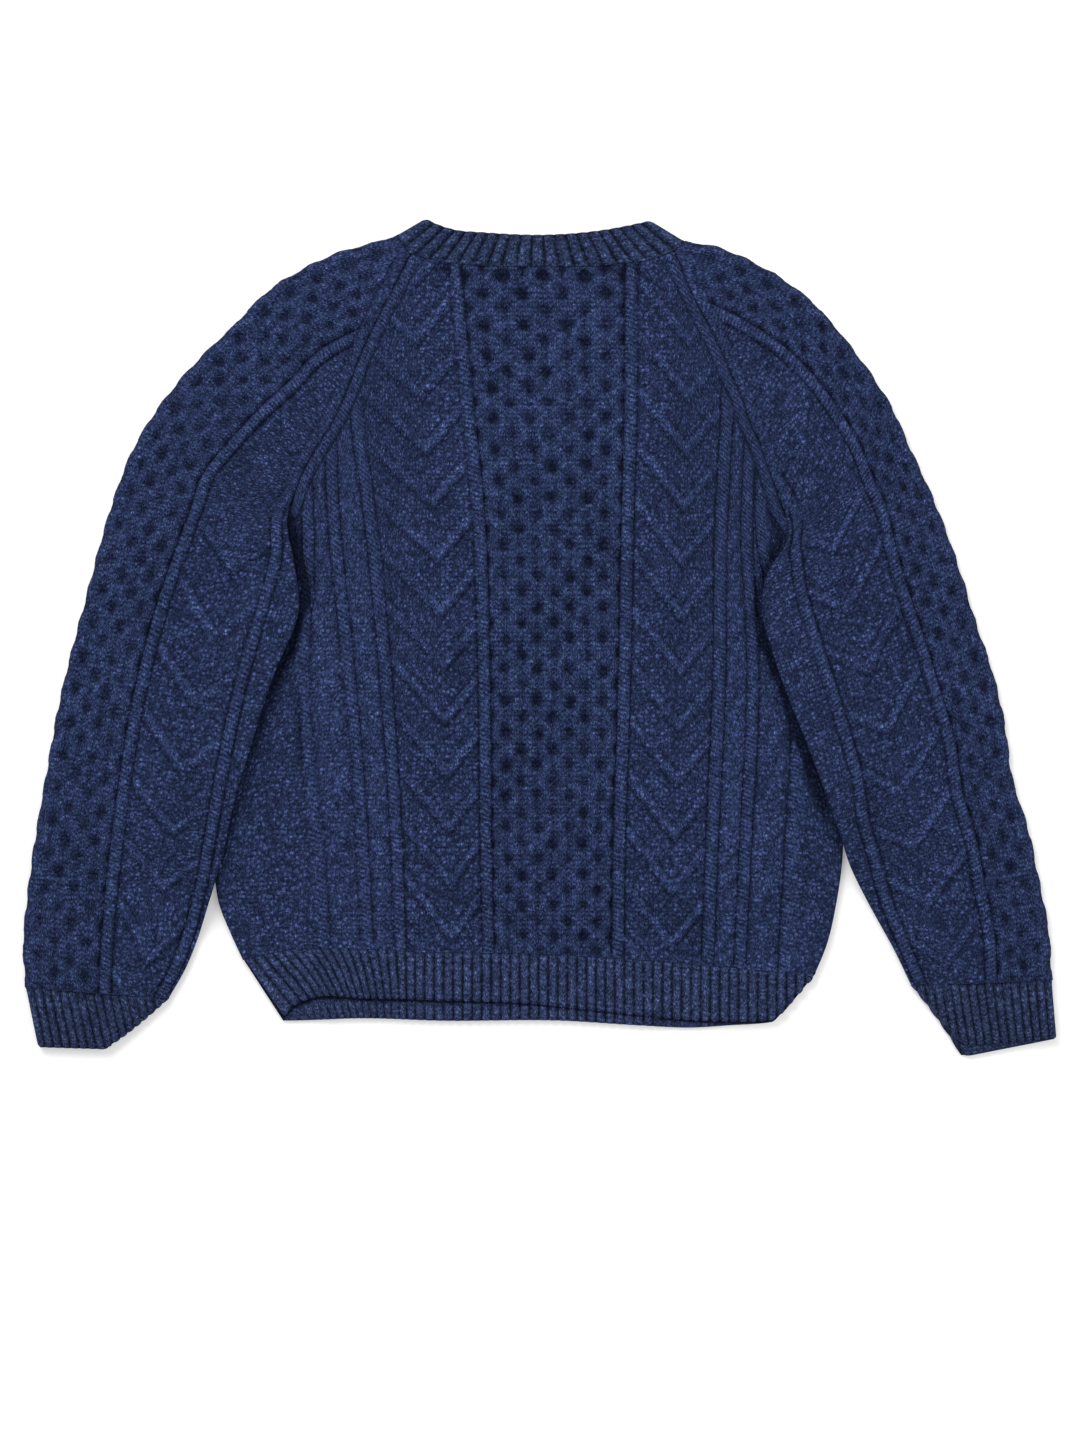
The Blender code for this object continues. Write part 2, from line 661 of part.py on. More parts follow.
def along_raglan(cloth, sleeve, radius, inset_by):
    """Gives a function for the points of a sleeve's upper edge between the ends of two wales."""
    end = sleeve.length - NECK_GAP

    def seam_points(a, b):
        low, high = sorted([a[-1][1], b[-1][1]])
        if high - low < SEAM_STEP / 2:
            return [], []
        upper = cloth.points[max(a, b, key=lambda line: line[-1][1])[-1][0]]
        layer = "back" if upper[2] > FOLD else "front"
        corner = np.array(sleeve_point(sleeve, end, sleeve.width(end, layer), layer, radius, inset_by))
        count = int((high - low) / SEAM_STEP)
        places = list(low + (high - low) * np.arange(1, count + 1) / (count + 1))
        if high > end - 0.01 and np.hypot(*(corner - upper)[:2]) > 1:
            places.append(end)
        points = [
            sleeve_point(sleeve, s, sleeve.width(s, layer), layer, radius, inset_by) for s in places
        ]
        if a[-1][1] > b[-1][1]:
            points, places = points[::-1], places[::-1]
        return points, places

    return seam_points


def sleeve_rows(kind, chevron, share, number, low, high, with_chain):
    """Rows of one sleeve wale: its pattern between its ends."""
    chain = []
    if with_chain:
        chain = [(high - 2.4 * CHAIN_HALF, 0.2), (high - 1.2 * CHAIN_HALF, CHAIN_HEIGHT)]
    stop = chain[0][0] - 2 if chain else high
    if kind == "comb":
        rows = lattice(low, stop, SLEEVE_COMB_STEP, number, (COMB_PIT, COMB_RIDGE))
    else:
        rows = pattern_points(kind, chevron, share, number, low, stop)
    rows = [(low, SEAM_RISE)] + rows + chain + [(high, SEAM_RISE)]
    return [(s, h, 0.0) for s, h in rows]


def sleeve_wales(sleeve, comb_shares):
    """Wales of a sleeve's upper face from the outer fold in: distance from it, kind, share, number."""

    def first(s, offset=0.0):
        return sleeve.section(s)[2] + offset

    def second(s, offset=0.0):
        """The rope at the far side of the chevron panel, squeezed where the sleeve is narrow."""
        width = sleeve.width(min(s, sleeve.armpit))
        return min(first(s) + 2 * ROPE_HALF + SLEEVE_PANEL, width - UNDERARM) + offset

    def in_comb(s, share):
        return first(s) * share

    def in_panel(s, share):
        left, right = first(s, ROPE_HALF), second(s, -ROPE_HALF)
        return left + share * (right - left)

    def rope(middle):
        sides = ((-ROPE_HALF, "foot"), (0.0, "rope"), (ROPE_HALF, "foot"))
        return [(partial(middle, offset=offset), kind, 0.0, 0) for offset, kind in sides]

    comb = [(partial(in_comb, share=f), "comb", f, n + 1) for n, f in enumerate(comb_shares)]
    panel = [(partial(in_panel, share=f), "chevron", f, n) for n, f in enumerate(BAND_WALES["chevron"])]
    edge = [(lambda s: sleeve.width(min(s, sleeve.armpit)) - FOLD, "moss", 0.0, 0)]
    return comb + rope(first) + panel + rope(second) + edge


def line_end(sleeve, w_of, layer):
    """Where a wale whose distance from the fold changes meets the raglan seam or the neck."""
    s = sleeve.end(w_of(sleeve.armpit), layer)
    for _ in range(8):
        s = 0.5 * (s + sleeve.end(w_of(s), layer))
    return s


def scalloped_fold(sleeve):
    """Rows of the outer fold, which the honeycomb scallops."""
    low, last = SEAM_GAP / 2, sleeve.length - NECK_GAP
    pits = lattice(low, last, SLEEVE_COMB_STEP, 0, (COMB_PIT, COMB_RIDGE))
    return [(low, 0.0, 0.0)] + [(s, 0.0, SCALLOP * h) for s, h in pits] + [(last, 0.0, 0.0)]


def sleeve_piece(name, sleeve, comb_shares, chevron):
    cloth = Cloth()
    low = SEAM_GAP / 2
    fold = scalloped_fold(sleeve)
    outer = [sleeve_face(cloth, sleeve, lambda s: 0.0, "back", fold, FOLD, 0.0)]
    for w_of, kind, share, number in sleeve_wales(sleeve, comb_shares):
        high = line_end(sleeve, w_of, "back")
        on_raglan = w_of(high) > sleeve.width(sleeve.length) + 1
        with_chain = on_raglan and high > sleeve.armpit + 30
        rows = sleeve_rows(kind, chevron, share, number, low, high, with_chain)
        slant = arm_shift(chevron, share) if kind == "chevron" else None
        outer.append(sleeve_face(cloth, sleeve, w_of, "back", rows, FOLD, 0.0, slant))
    under = [(s, 0.0, 0.0) for s in np.linspace(low, sleeve.armpit, 16)]
    outer.append(sleeve_face(cloth, sleeve, sleeve.width, "back", under, FOLD, 0.0))
    outer += flat_lines(cloth, sleeve, "front", FOLD, 0.0, FOLD, [FOLD, FOLD_LAYERS[1] * FOLD])
    inner = inner_ring(cloth, sleeve)
    cloth.tube(
        outer,
        inner,
        along_raglan(cloth, sleeve, FOLD, 0.0),
        along_raglan(cloth, sleeve, HOLLOW / 2, WALL),
    )
    return cloth.make(name, NAVY, WOOL_ROUGHNESS)


def flat_lines(cloth, sleeve, layer, radius, inset_by, from_inner, from_outer):
    """Plain wales of one layer: one beside the inner edge, a spread, and some beside the outer fold."""

    def width(s):
        return sleeve.width(min(s, sleeve.armpit), layer)

    wales = [lambda s: width(s) - inset_by - from_inner]
    wales += [lambda s, share=share: width(s) * (1 - share) for share in SPREAD]
    wales += [lambda s, depth=depth: inset_by + depth for depth in from_outer]
    lines = []
    for w_of in wales:
        high = line_end(sleeve, w_of, layer)
        rows = [(s, 0.0, 0.0) for s in np.linspace(SEAM_GAP / 2, high, 18)]
        lines.append(sleeve_face(cloth, sleeve, w_of, layer, rows, radius, inset_by))
    return lines


def inner_ring(cloth, sleeve):
    """The plain lining face of the tube, in the same order as the outer lines."""
    radius = HOLLOW / 2
    last = sleeve.length - NECK_GAP
    along = [(s, 0.0, 0.0) for s in np.linspace(SEAM_GAP / 2, last, 16)]
    under = [(s, 0.0, 0.0) for s in np.linspace(SEAM_GAP / 2, sleeve.armpit, 16)]
    lines = [sleeve_face(cloth, sleeve, lambda s: WALL, "back", along, radius, WALL)]
    lines += flat_lines(cloth, sleeve, "back", radius, WALL, WALL / 2, [WALL / 2])[::-1]
    lines.append(sleeve_face(cloth, sleeve, lambda s: sleeve.width(s) - WALL, "back", under, radius, WALL))
    return lines + flat_lines(cloth, sleeve, "front", radius, WALL, WALL / 2, [WALL / 2])


def ribbed_ring(name, back, front, ribs, fold, plain_wales):
    """A ribbed tube lying flat: `back` and `front` map (share across, share along) to x, y and lift."""
    cloth = Cloth()

    def line(place, share, height):
        points = []
        for along in BAND_STEPS:
            x, y, lift = place(share, along)
            points.append((x, y, FOLD + height + lift))
        return cloth.line(points, BAND_STEPS)

    halves = 2 * ribs
    outer = [line(back, 0.0, 0.0)]
    for n in range(1, halves):
        raised = RIB_HEIGHT if n % 2 else 0.0
        outer.append(line(back, n / halves, (FOLD + raised) * min(1.0, min(n, halves - n) / ROLL)))
    outer.append(line(back, 1.0, 0.0))
    outer += [line(front, share, -FOLD) for share in np.linspace(1 - fold, fold, plain_wales)]
    level = np.linspace(1.6 * fold, 1 - 1.6 * fold, plain_wales)
    inner = [line(back, fold, 0.0)]
    inner += [line(back, share, HOLLOW / 2) for share in level]
    inner.append(line(back, 1 - fold, 0.0))
    inner += [line(front, share, -HOLLOW / 2) for share in level[::-1]]
    cloth.tube(outer, inner)
    return cloth.make(name, NAVY_RIB, WOOL_ROUGHNESS)


def cuff(name, sleeve, edge_row):
    """A cuff from the sleeve's first section to its own narrower free edge."""
    outer_start, inner_start, _ = sleeve.section(0.0)
    outer_edge, inner_edge = np.array(edge_row[:2], float), np.array(edge_row[2:4], float)
    beyond = edge_row[4]

    def place(share, along, extra=0.0):
        """along runs from the free edge to the seam, so that it follows the sleeve's own way."""
        down = 1 - along
        narrowing = down * (1.35 - 0.35 * down)
        start = outer_start + (inner_start - outer_start) * share
        end = outer_edge + (inner_edge - outer_edge) * share
        x, y = start + (end - start) * narrowing
        y -= SEAM_GAP / 2 * (along == 1) + extra * down * down
        return x, y, sleeve.lift(x, y)

    def under(share, along):
        return place(share, along, beyond * share)

    return ribbed_ring(name, place, under, CUFF_RIBS, 0.055, 9)


def band_seam(neck):
    """The neckband's seam: straight across each sleeve's end, and curved along the panel."""
    left, right = SLEEVE_LEFT[-1][:2], SLEEVE_RIGHT[-1][:2]
    curve = np.concatenate([[left], traced(neck), [right]])
    return inset(evenly(curve), -0.6 * SEAM_GAP)


def spot(curve, share):
    """The point at a share of the way along a curve."""
    at = share * (len(curve) - 1)
    i = min(int(at), len(curve) - 2)
    return curve[i] + (curve[i + 1] - curve[i]) * (at - i)


def neckband():
    edges = {
        "back": (band_seam(NECK_BACK), traced(BAND_BACK)),
        "front": (band_seam(NECK_FRONT), traced(BAND_FRONT)),
    }

    def between(share, along, layer):
        seam, free = edges[layer]
        start, end = spot(seam, share), spot(free, share)
        return (*(start + (end - start) * along), 0.0)

    back, front = partial(between, layer="back"), partial(between, layer="front")
    return ribbed_ring("neckband", back, front, NECK_RIBS, 0.035, 23)


HEM_WIDTH = hem_seam[-1, 0] - hem_seam[0, 0]
HEM_HALVES = 2 * round(HEM_WIDTH / BODY_RIB)  # crowns and furrows across the hem
HEM_SIDE = (WALL + SIDE_GAP) / HEM_WIDTH  # the wall of a side fold, as a share of the hem's width


def hem_strip(cloth, free_edge):
    """Gives a function for a line down a hem strip, at a share of its width, with its heights."""
    seam, free = hem_seam - [0, 0.6 * SEAM_GAP], traced(free_edge)

    def line(share, heights, steps=BAND_STEPS):
        low, high = spot(free, share), spot(seam, share)
        points = [(*(low + (high - low) * along), z) for along, z in zip(steps, heights)]
        return cloth.line(points, steps)

    return line


def hem_rib_back():
    """The back layer's hem, ribbed on its outer face, its ends rolled round the side folds."""
    cloth = Cloth()
    line = hem_strip(cloth, HEM_BACK)
    mid, level = FOLD + SEAM_GAP / 2, FOLD + HOLLOW / 2
    ribbed = []
    for n in range(HEM_HALVES + 1):
        rounding = math.sin(min(1.0, min(n, HEM_HALVES - n) / ROLL) * math.pi / 2)
        raised = RIB_HEIGHT if n % 2 else 0.0
        z = mid + (FOLD + raised - SEAM_GAP / 2) * rounding
        ribbed.append(line(n / HEM_HALVES, [z] * 3))
    plain = [line(HEM_SIDE, [mid] * 3)]
    plain += [line(share, [level] * 3) for share in np.linspace(2 * HEM_SIDE, 1 - 2 * HEM_SIDE, 25)]
    plain.append(line(1 - HEM_SIDE, [mid] * 3))
    cloth.wall(ribbed, plain)
    return cloth.make("hem_rib_back", NAVY_RIB, WOOL_ROUGHNESS)


def hem_rib_front():
    """The front layer's hem, whose inner face has ribs where it shows past the back layer's."""
    cloth = Cloth()
    line = hem_strip(cloth, HEM_FRONT)
    mid, level = FOLD - SEAM_GAP / 2, FOLD - HOLLOW / 2
    ribbed = []
    for n in range(1, HEM_HALVES):
        share = n / HEM_HALVES
        z = level if 1 < n < HEM_HALVES - 1 else mid
        shown = n % 2 and HEM_LEDGE[0] < share < HEM_LEDGE[1]
        ribbed.append(line(share, [z + (0.8 * RIB_HEIGHT if shown else 0.0), z, z], (0.0, 0.36, 1.0)))
    roll, edge = 1.1 * HEM_SIDE, FOLD_LAYERS[1] * HEM_SIDE
    plain = []
    for share in [0.0, edge, *np.linspace(roll, 1 - roll, 25), 1 - edge, 1.0]:
        near = min(share, 1 - share, roll) / roll
        plain.append(line(share, [mid - math.sqrt(1 - (1 - near) ** 2) * mid] * 3))
    cloth.wall(ribbed, plain)
    return cloth.make("hem_rib_front", NAVY_RIB, WOOL_ROUGHNESS)


def main():
    for old in list(bpy.data.objects):
        bpy.data.objects.remove(old)
    left = Sleeve(SLEEVE_LEFT, raglan_left, side_left, FRONT_NECK_LEFT, 10)
    right = Sleeve(SLEEVE_RIGHT, raglan_right, side_right, FRONT_NECK_RIGHT, 12)
    back_panel()
    front_panel()
    sleeve_piece("sleeve_left", left, COMB_LEFT, SLEEVE_CHEVRON_LEFT)
    sleeve_piece("sleeve_right", right, COMB_RIGHT, SLEEVE_CHEVRON_RIGHT)
    cuff("cuff_left", left, CUFF_LEFT)
    cuff("cuff_right", right, CUFF_RIGHT)
    neckband()
    hem_rib_back()
    hem_rib_front()


main()
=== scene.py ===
"""A navy aran pullover laid flat, face down, on a pale table and seen from straight above.

Each piece of the frame gets a finer cloth shell in the same place. A shell is a grid of wales (columns
of stitches) and courses (rows of stitches). The grid follows the piece's plain form, and the raised
patterns, seams and creases then push its points along the cloth's own normal. Lengths are millimetres
until a mesh is made.
"""

import json
import math

import bpy
import numpy as np
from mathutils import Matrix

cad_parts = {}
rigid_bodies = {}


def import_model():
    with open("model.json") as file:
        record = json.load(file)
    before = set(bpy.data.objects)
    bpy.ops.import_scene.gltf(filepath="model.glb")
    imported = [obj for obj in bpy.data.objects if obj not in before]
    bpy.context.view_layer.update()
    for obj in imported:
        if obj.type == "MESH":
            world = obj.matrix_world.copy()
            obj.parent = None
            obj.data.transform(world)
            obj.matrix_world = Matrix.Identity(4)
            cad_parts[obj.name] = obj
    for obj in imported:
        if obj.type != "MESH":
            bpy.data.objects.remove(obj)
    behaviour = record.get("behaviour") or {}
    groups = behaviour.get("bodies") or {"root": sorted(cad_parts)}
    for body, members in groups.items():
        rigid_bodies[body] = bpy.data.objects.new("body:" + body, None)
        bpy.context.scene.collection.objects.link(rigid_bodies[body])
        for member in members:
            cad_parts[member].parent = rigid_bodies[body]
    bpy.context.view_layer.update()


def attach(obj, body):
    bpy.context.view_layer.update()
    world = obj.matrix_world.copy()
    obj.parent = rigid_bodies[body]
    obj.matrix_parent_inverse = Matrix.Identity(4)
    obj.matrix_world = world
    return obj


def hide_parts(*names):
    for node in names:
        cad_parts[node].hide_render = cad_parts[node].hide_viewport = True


for old in list(bpy.data.objects):
    bpy.data.objects.remove(old)
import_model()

MM = 0.001

# The cloth
WALL = 4.0
HOLLOW = 1.0  # between the two layers
FOLD = WALL + HOLLOW / 2  # outer radius of a side fold, so also the height of its middle
SEAM_GAP = 0.3
NECK_GAP = 0.2
PUFF = 2.4  # how far the upper layer rises in the middle of a panel
PRESSED = 5.3  # height of the back where it is pressed thin on the front
BACK_LINING = FOLD + SEAM_GAP / 2  # lowest height of the back's inner face
TURN_STEPS = 6  # steps of a mesh round a side fold

# Raised stitches, heights above the cloth
ROPE_HEIGHT, ROPE_HALF = 2.1, 4.5
COMB_RIDGE, COMB_PIT, COMB_STEP, SLEEVE_COMB_STEP = 2.7, -2.2, 13.2, 14.2
CHEVRON_HEIGHT, ARM_HALF = 2.4, 4.4
CHAIN_HEIGHT, CHAIN_HALF = 1.5, 3.8
CABLE_HEIGHT, CABLE_STEP = 2.2, 23.5
BRAID_HEIGHT, BRAID_STEP = 1.8, 42.0
RIB_HEIGHT, RIB_SINK, BODY_RIB = 3.0, 1.6, 8.0
CUFF_RIBS, CUFF_RIB, NECK_RIBS = 13, 7.2, 21  # on the upper layer alone
# Stacked V shapes: period, height of a vertex, its share across the panel, and rise over a whole panel
CHEVRON_LEFT, CHEVRON_RIGHT = (45.6, 23.5, 0.60, 88.0), (46.2, 20.2, 0.60, 88.0)
SLEEVE_CHEVRON_LEFT, SLEEVE_CHEVRON_RIGHT = (56.0, 34.0, 0.60, 74.0), (57.0, 22.0, 0.60, 74.0)
SLEEVE_PANEL, UNDERARM = 85.0, 6.0  # between a sleeve's two ropes, and least beyond the second one
ROPE_SOFTENING = 14.0  # how gently the second rope bends where the sleeve squeezes it
EDGE_ROUND = 3.0  # radius of a ribbed band's free edge
# The dip below the neckband: its middle below the seam, half width, depth, and where it ends in x
UNDER_BAND, UNDER_BAND_HALF, UNDER_BAND_DEEP, UNDER_BAND_END = 5.0, 6.0, 1.2, (95.0, 20.0)
STITCH_WIDTH, STITCH_HEIGHT = 4.4, 3.9  # of a plain stitch
PEBBLE_WIDTH, PEBBLE_HEIGHT = 4.1, 3.6  # of a moss stitch

# Steps of the meshes across the wales, in each kind of band
GRAIN = {"moss": 3.2, "braid": 2.0, "cable": 1.7, "chevron": 1.9, "comb": 1.25}
SLEEVE_GRAIN = 1.35
# Widths that its mesh allows for: the chevrons, these and the honeycomb, and at least for the moss
SLEEVE_PANEL_SPAN, SLEEVE_BOTH_SPAN, SLEEVE_MOSS_LEAST = 76.0, 150.0, 20.0
RIB_GRAIN, RIB_GRAIN_UNDER = 9, 5  # columns of the mesh in a rib, on the upper layer and the under one
INNER_RIB_STEP = 3  # columns of the outer grid for each of the inner one

# Tints of the one yarn, each set until its pieces were as light as they are in the photograph
# Painted light and shade: the cuffs' and hem's lighter tints are painted light, and the neckband's darker
# tint is painted shade
BODY_TINT, CUFF_LIT_TINT = (0.031, 0.049, 0.136), (0.046, 0.068, 0.166)
NECK_SHADED_TINT, HEM_LIT_TINT = (0.040, 0.061, 0.150), (0.054, 0.080, 0.200)

# Studio, in metres
FLOOR_HALF, FLOOR_DROP = 6.0, 0.0005
CAMERA_PLACE, CAMERA_LENS = (0.0002, -0.0697, 2.865), 85.0

# Where a sleeve lies on the body it climbs this high, over this run outside the side fold
LIFT, LIFT_RUN, ARMPIT_RAMP = 12.4, 32.0, 27.0

# Outline of the body, x and y, from the armpit down to the hem's seam
SIDE_LEFT = [
    (-211, 110), (-218, 98), (-219, 84), (-216, 68), (-220, 50), (-234, 14), (-249, -34),
    (-264, -93), (-272, -152), (-274, -196), (-270, -223), (-261, -246), (-249, -272),
]
SIDE_RIGHT = [
    (208, 104), (214, 92), (214, 79), (210, 66), (208, 50), (214, 24), (229, -18),
    (244, -68), (252, -127), (255, -177), (250, -219), (240, -261), (232, -280),
]
# Raglan seams, from the armpit up to the neck
RAGLAN_LEFT = [
    (-210, 110), (-203, 132), (-190, 157), (-175, 181), (-162, 209),
    (-151, 238), (-141, 260), (-131, 280), (-121, 299), (-109, 323),
]
RAGLAN_RIGHT = [
    (206, 104), (194, 138), (186, 161), (176, 184), (170, 202),
    (161, 222), (152, 243), (142, 263), (132, 282), (122, 304), (113, 326),
]
# Neck and hem lines, from left to right
NECK_BACK = [(-109, 323), (-88, 318), (-67, 315), (0, 313), (67, 315), (97, 320), (113, 326)]
NECK_FRONT = [
    (-115, 309), (-109, 291), (-91, 268), (-55, 252), (0, 247),
    (55, 252), (92, 268), (110, 291), (118, 312),
]
BAND_BACK = [(-97, 354), (-87, 349), (-71, 344), (-49, 342), (9, 340), (54, 344), (76, 348), (94, 352)]
BAND_FRONT = [
    (-97, 354), (-91, 331), (-77, 306), (-50, 285), (0, 276),
    (50, 285), (77, 306), (90, 331), (94, 352),
]
HEM_SEAM = [
    (-249, -270), (-222, -263), (-190, -260), (-101, -263), (3, -265),
    (101, -271), (171, -277), (205, -280), (232, -281),
]
HEM_BACK = [
    (-216, -319), (-208, -309), (-196, -303), (-143, -302), (-76, -304), (-16, -306),
    (53, -313), (99, -318), (144, -321), (185, -321), (204, -319),
]
HEM_FRONT = [
    (-216, -321), (-208, -321), (-151, -319), (-84, -321), (17, -321),
    (84, -325), (126, -327), (160, -325), (190, -323), (204, -321),
]
HEM_CORNER = 6.0  # how far the hem's right corner is rounded
# Left of the first x the hem's ribs lean along its end, more and more over the second
HEM_STRAIGHT, HEM_LEAN = -100.0, 110.0

# The body's raised columns: x of each rope at six heights
ROPES = [
    # y, then ropes d, a, b, c left of the middle and c, b, a, d right of it
    (-272, -181, -144, -117, -43, 65, 141, 168, 205),
    (-186, -186, -148, -120, -45, 66, 144, 172, 210),
    (-18, -199, -161, -131, -47, 71, 151, 179, 213),
    (84, -195, -172, -141, -50, 73, 152, 174, 187),
    (201, -200, -178, -156, -61, 76, 158, 178, 192),
    (330, -205, -190, -168, -73, 76, 162, 180, 195),
]
# The pattern between each pair of neighbouring ropes, and between the outer ones and the sides
BANDS = ["moss", "braid", "cable", "chevron", "comb", "chevron", "cable", "braid", "moss"]
# How much moss and plain knit shows in each, but for the chevrons' arms
STITCHES = {"moss": (1.0, 0.0), "braid": (0.8, 0.5), "cable": (0.6, 0.7), "comb": (0.0, 1.0)}

# A sleeve's sections from the cuff's seam to the neck
SLEEVE_LEFT = [
    # outer fold x, y; inner fold or seam x, y; distance of the first rope from the outer fold
    (-433, -293, -312, -302, 68), (-435, -261, -297, -275, 71), (-431, -211, -276, -217, 71),
    (-423, -156, -264, -173, 69), (-415, -110, -255, -133, 67), (-406, -60, -240, -83, 66),
    (-393, -5, -222, -28, 65), (-380, 43, -202, 24, 66), (-370, 81, -206, 64, 69),
    (-359, 118, -212, 95, 71), (-344, 157, -210, 110, 68), (-319, 198, -203, 132, 71),
    (-290, 233, -190, 157, 72), (-258, 264, -175, 181, 72), (-228, 294, -162, 209, 72),
    (-197, 313, -151, 238, 72), (-168, 326, -141, 260, 72), (-143, 333, -131, 280, 72),
    (-121, 340, -109, 323, 72),
]
SLEEVE_RIGHT = [
    (431, -287, 312, -291, 52), (428, -244, 297, -260, 51), (420, -202, 276, -222, 51),
    (411, -160, 260, -191, 50), (398, -118, 250, -160, 49), (391, -70, 237, -124, 50),
    (381, -28, 223, -87, 52), (367, 14, 208, -50, 51), (354, 56, 195, -12, 52),
    (340, 96, 186, 24, 50), (327, 128, 190, 54, 45), (312, 160, 206, 80, 45),
    (294, 199, 206, 104, 46), (274, 230, 194, 138, 46), (250, 261, 182, 170, 47),
    (228, 285, 170, 202, 50), (203, 304, 157, 232, 52), (176, 319, 145, 256, 52),
    (149, 330, 132, 282, 52), (122, 335, 113, 326, 52),
]
FRONT_NECK_LEFT, FRONT_NECK_RIGHT = (-115, 309), (118, 312)
TABLES_MIDDLE = (-0.2, 1.7)  # the middle of the outlines above, which the origin lies under
# Free edge of each cuff: outer fold, inner fold, and how far the under layer shows beyond the upper
CUFF_LEFT = (-423, -343, -359, -345, 0)
CUFF_RIGHT = (435, -336, 354, -342, 10)
CUFF_CORNERS_LEFT, CUFF_CORNERS_RIGHT = (1.5, 5.0), (0.6, 1.5)  # how far their corners are rounded

# Where the body's cloth sinks beside each sleeve: x, y and depth along the sleeve's edge
TROUGH_LEFT = [
    (-214, 118, 1.0), (-213, 104, 5.0), (-209, 83, 6.5), (-204, 66, 7.0), (-199, 46, 6.6),
    (-197, 34, 5.0), (-201, 20, 3.6), (-209, -4, 3.4), (-216, -20, 3.0), (-224, -40, 2.2),
    (-245, -100, 1.4), (-268, -180, 0.6),
]
TROUGH_RIGHT = [
    (207, 112, 0.8), (203, 92, 2.4), (196, 66, 2.8), (190, 50, 3.0), (187, 30, 3.0), (190, 0, 3.8),
    (197, -22, 4.8), (206, -40, 6.2), (214, -66, 7.0), (222, -90, 6.8), (232, -120, 5.0), (250, -170, 1.4),
]

# Soft creases of the cloth: both ends, half width and height, which is below zero for a trough
BODY_CREASES = [
    # x1, y1, x2, y2, half width, height
    (-205, 100, -187, 20, 9, -2.6),
    (-196, -6, -206, -32, 6, -1.6),
    (-186, 96, -170, 30, 10, 1.6),
    (-228, -80, -246, -150, 10, -1.8),
    (200, 70, 187, 0, 9, -2.2),
    (186, 10, 214, -90, 9, -2.4),
    (205, -60, 236, -160, 9, -2.0),
    (176, 60, 172, -10, 11, 1.4),
    (-60, 180, 60, 150, 26, 0.9),
    (-150, -150, -40, -190, 24, -0.9),
    (60, -90, 170, -60, 26, 0.8),
    (-30, 20, 90, -20, 30, -0.8),
    (-110, 60, -90, -60, 18, 0.8),
    (120, 170, 110, 60, 18, -0.8),
]
LEFT_CREASES = [
    (-262, 92, -212, 132, 10, -2.2),
    (-268, 62, -214, 92, 9, 1.7),
    (-276, 40, -212, 62, 9, -1.8),
    (-262, 8, -214, 14, 9, 1.3),
    (-330, 60, -300, -40, 14, 1.1),
    (-300, -60, -270, -150, 12, -1.1),
    (-350, -130, -300, -190, 15, 0.9),
    (-390, -230, -300, -245, 14, -1.0),
    (-250, 190, -215, 215, 14, 1.0),
    (-266, 120, -214, 196, 9, -2.8),
    (-240, 112, -204, 158, 8, 1.2),
]
RIGHT_CREASES = [
    (268, 66, 281, -18, 9, 2.2),
    (256, 60, 268, -24, 8, -1.8),
    (214, 112, 262, 88, 9, -2.0),
    (206, 84, 258, 46, 8, 1.4),
    (300, -60, 290, -150, 12, -1.1),
    (350, -120, 320, -200, 14, 0.9),
    (330, -240, 400, -250, 12, -1.0),
    (240, 190, 214, 214, 14, 0.9),
]


def smooth(values, at, knots):
    """The table's columns at the places `at`, on one smooth curve through its rows."""
    values = np.asarray(values, float)
    knots = np.asarray(knots, float)
    slopes = np.gradient(values, knots, axis=0)
    at = np.clip(np.atleast_1d(at).astype(float), knots[0], knots[-1])
    row = np.clip(np.searchsorted(knots, at) - 1, 0, len(knots) - 2)
    span = (knots[row + 1] - knots[row])[:, None]
    t = (at[:, None] - knots[row][:, None]) / span
    start, end = values[row], values[row + 1]
    bend = t * (1 - t) * ((1 - t) * (slopes[row] * span - (end - start)))
    return start + t * (end - start) + bend - t * t * (1 - t) * (slopes[row + 1] * span - (end - start))


def ease(t):
    """0 up to 1 with level ends."""
    t = np.clip(t, 0, 1)
    return t * t * (3 - 2 * t)


def bell(distance, half):
    """1 in the middle, dying out beyond a half width."""
    return np.exp(-((distance / half) ** 2))


def fold_height(depth):
    """How far the cloth stands from the mid-plane at a depth inside its side fold."""
    depth = np.clip(depth, 0, FOLD)
    return np.sqrt(FOLD**2 - (FOLD - depth) ** 2)


def ridge(distance, half):
    """The round back of a raised strand."""
    return np.sqrt(np.clip(1 - (distance / half) ** 2, 0, 1))


def evenly(curve, count=240):
    """The curve's points at even steps."""
    reach = np.concatenate([[0], np.cumsum(np.hypot(*np.diff(curve, axis=0).T))])
    at = np.linspace(0, reach[-1], count)
    return np.column_stack([np.interp(at, reach, curve[:, 0]), np.interp(at, reach, curve[:, 1])])


def traced(points, count=240):
    """Points at even steps of a smooth curve through a table of x and y."""
    points = np.asarray(points, float)
    reach = np.concatenate([[0], np.cumsum(np.hypot(*np.diff(points[:, :2], axis=0).T))])
    return smooth(points, np.linspace(0, reach[-1], count), reach)


def inset(curve, distance):
    """The curve moved to its right-hand side by a distance."""
    ahead = np.gradient(curve, axis=0)
    ahead /= np.linalg.norm(ahead, axis=1)[:, None]
    return curve + distance * np.column_stack([ahead[:, 1], -ahead[:, 0]])


def x_of(curve, y):
    """x at the heights y of a curve that runs up or down."""
    order = np.argsort(curve[:, 1])
    return np.interp(y, curve[order, 1], curve[order, 0])


def y_of(curve, x):
    """y at the places x of a curve that runs across."""
    order = np.argsort(curve[:, 0])
    return np.interp(x, curve[order, 0], curve[order, 1])


def distance_to(curve, x, y):
    """Distance of each point from a traced curve."""
    near = np.full(x.shape, 1e9)
    for px, py in curve[::2]:
        near = np.minimum(near, np.hypot(x - px, y - py))
    return near


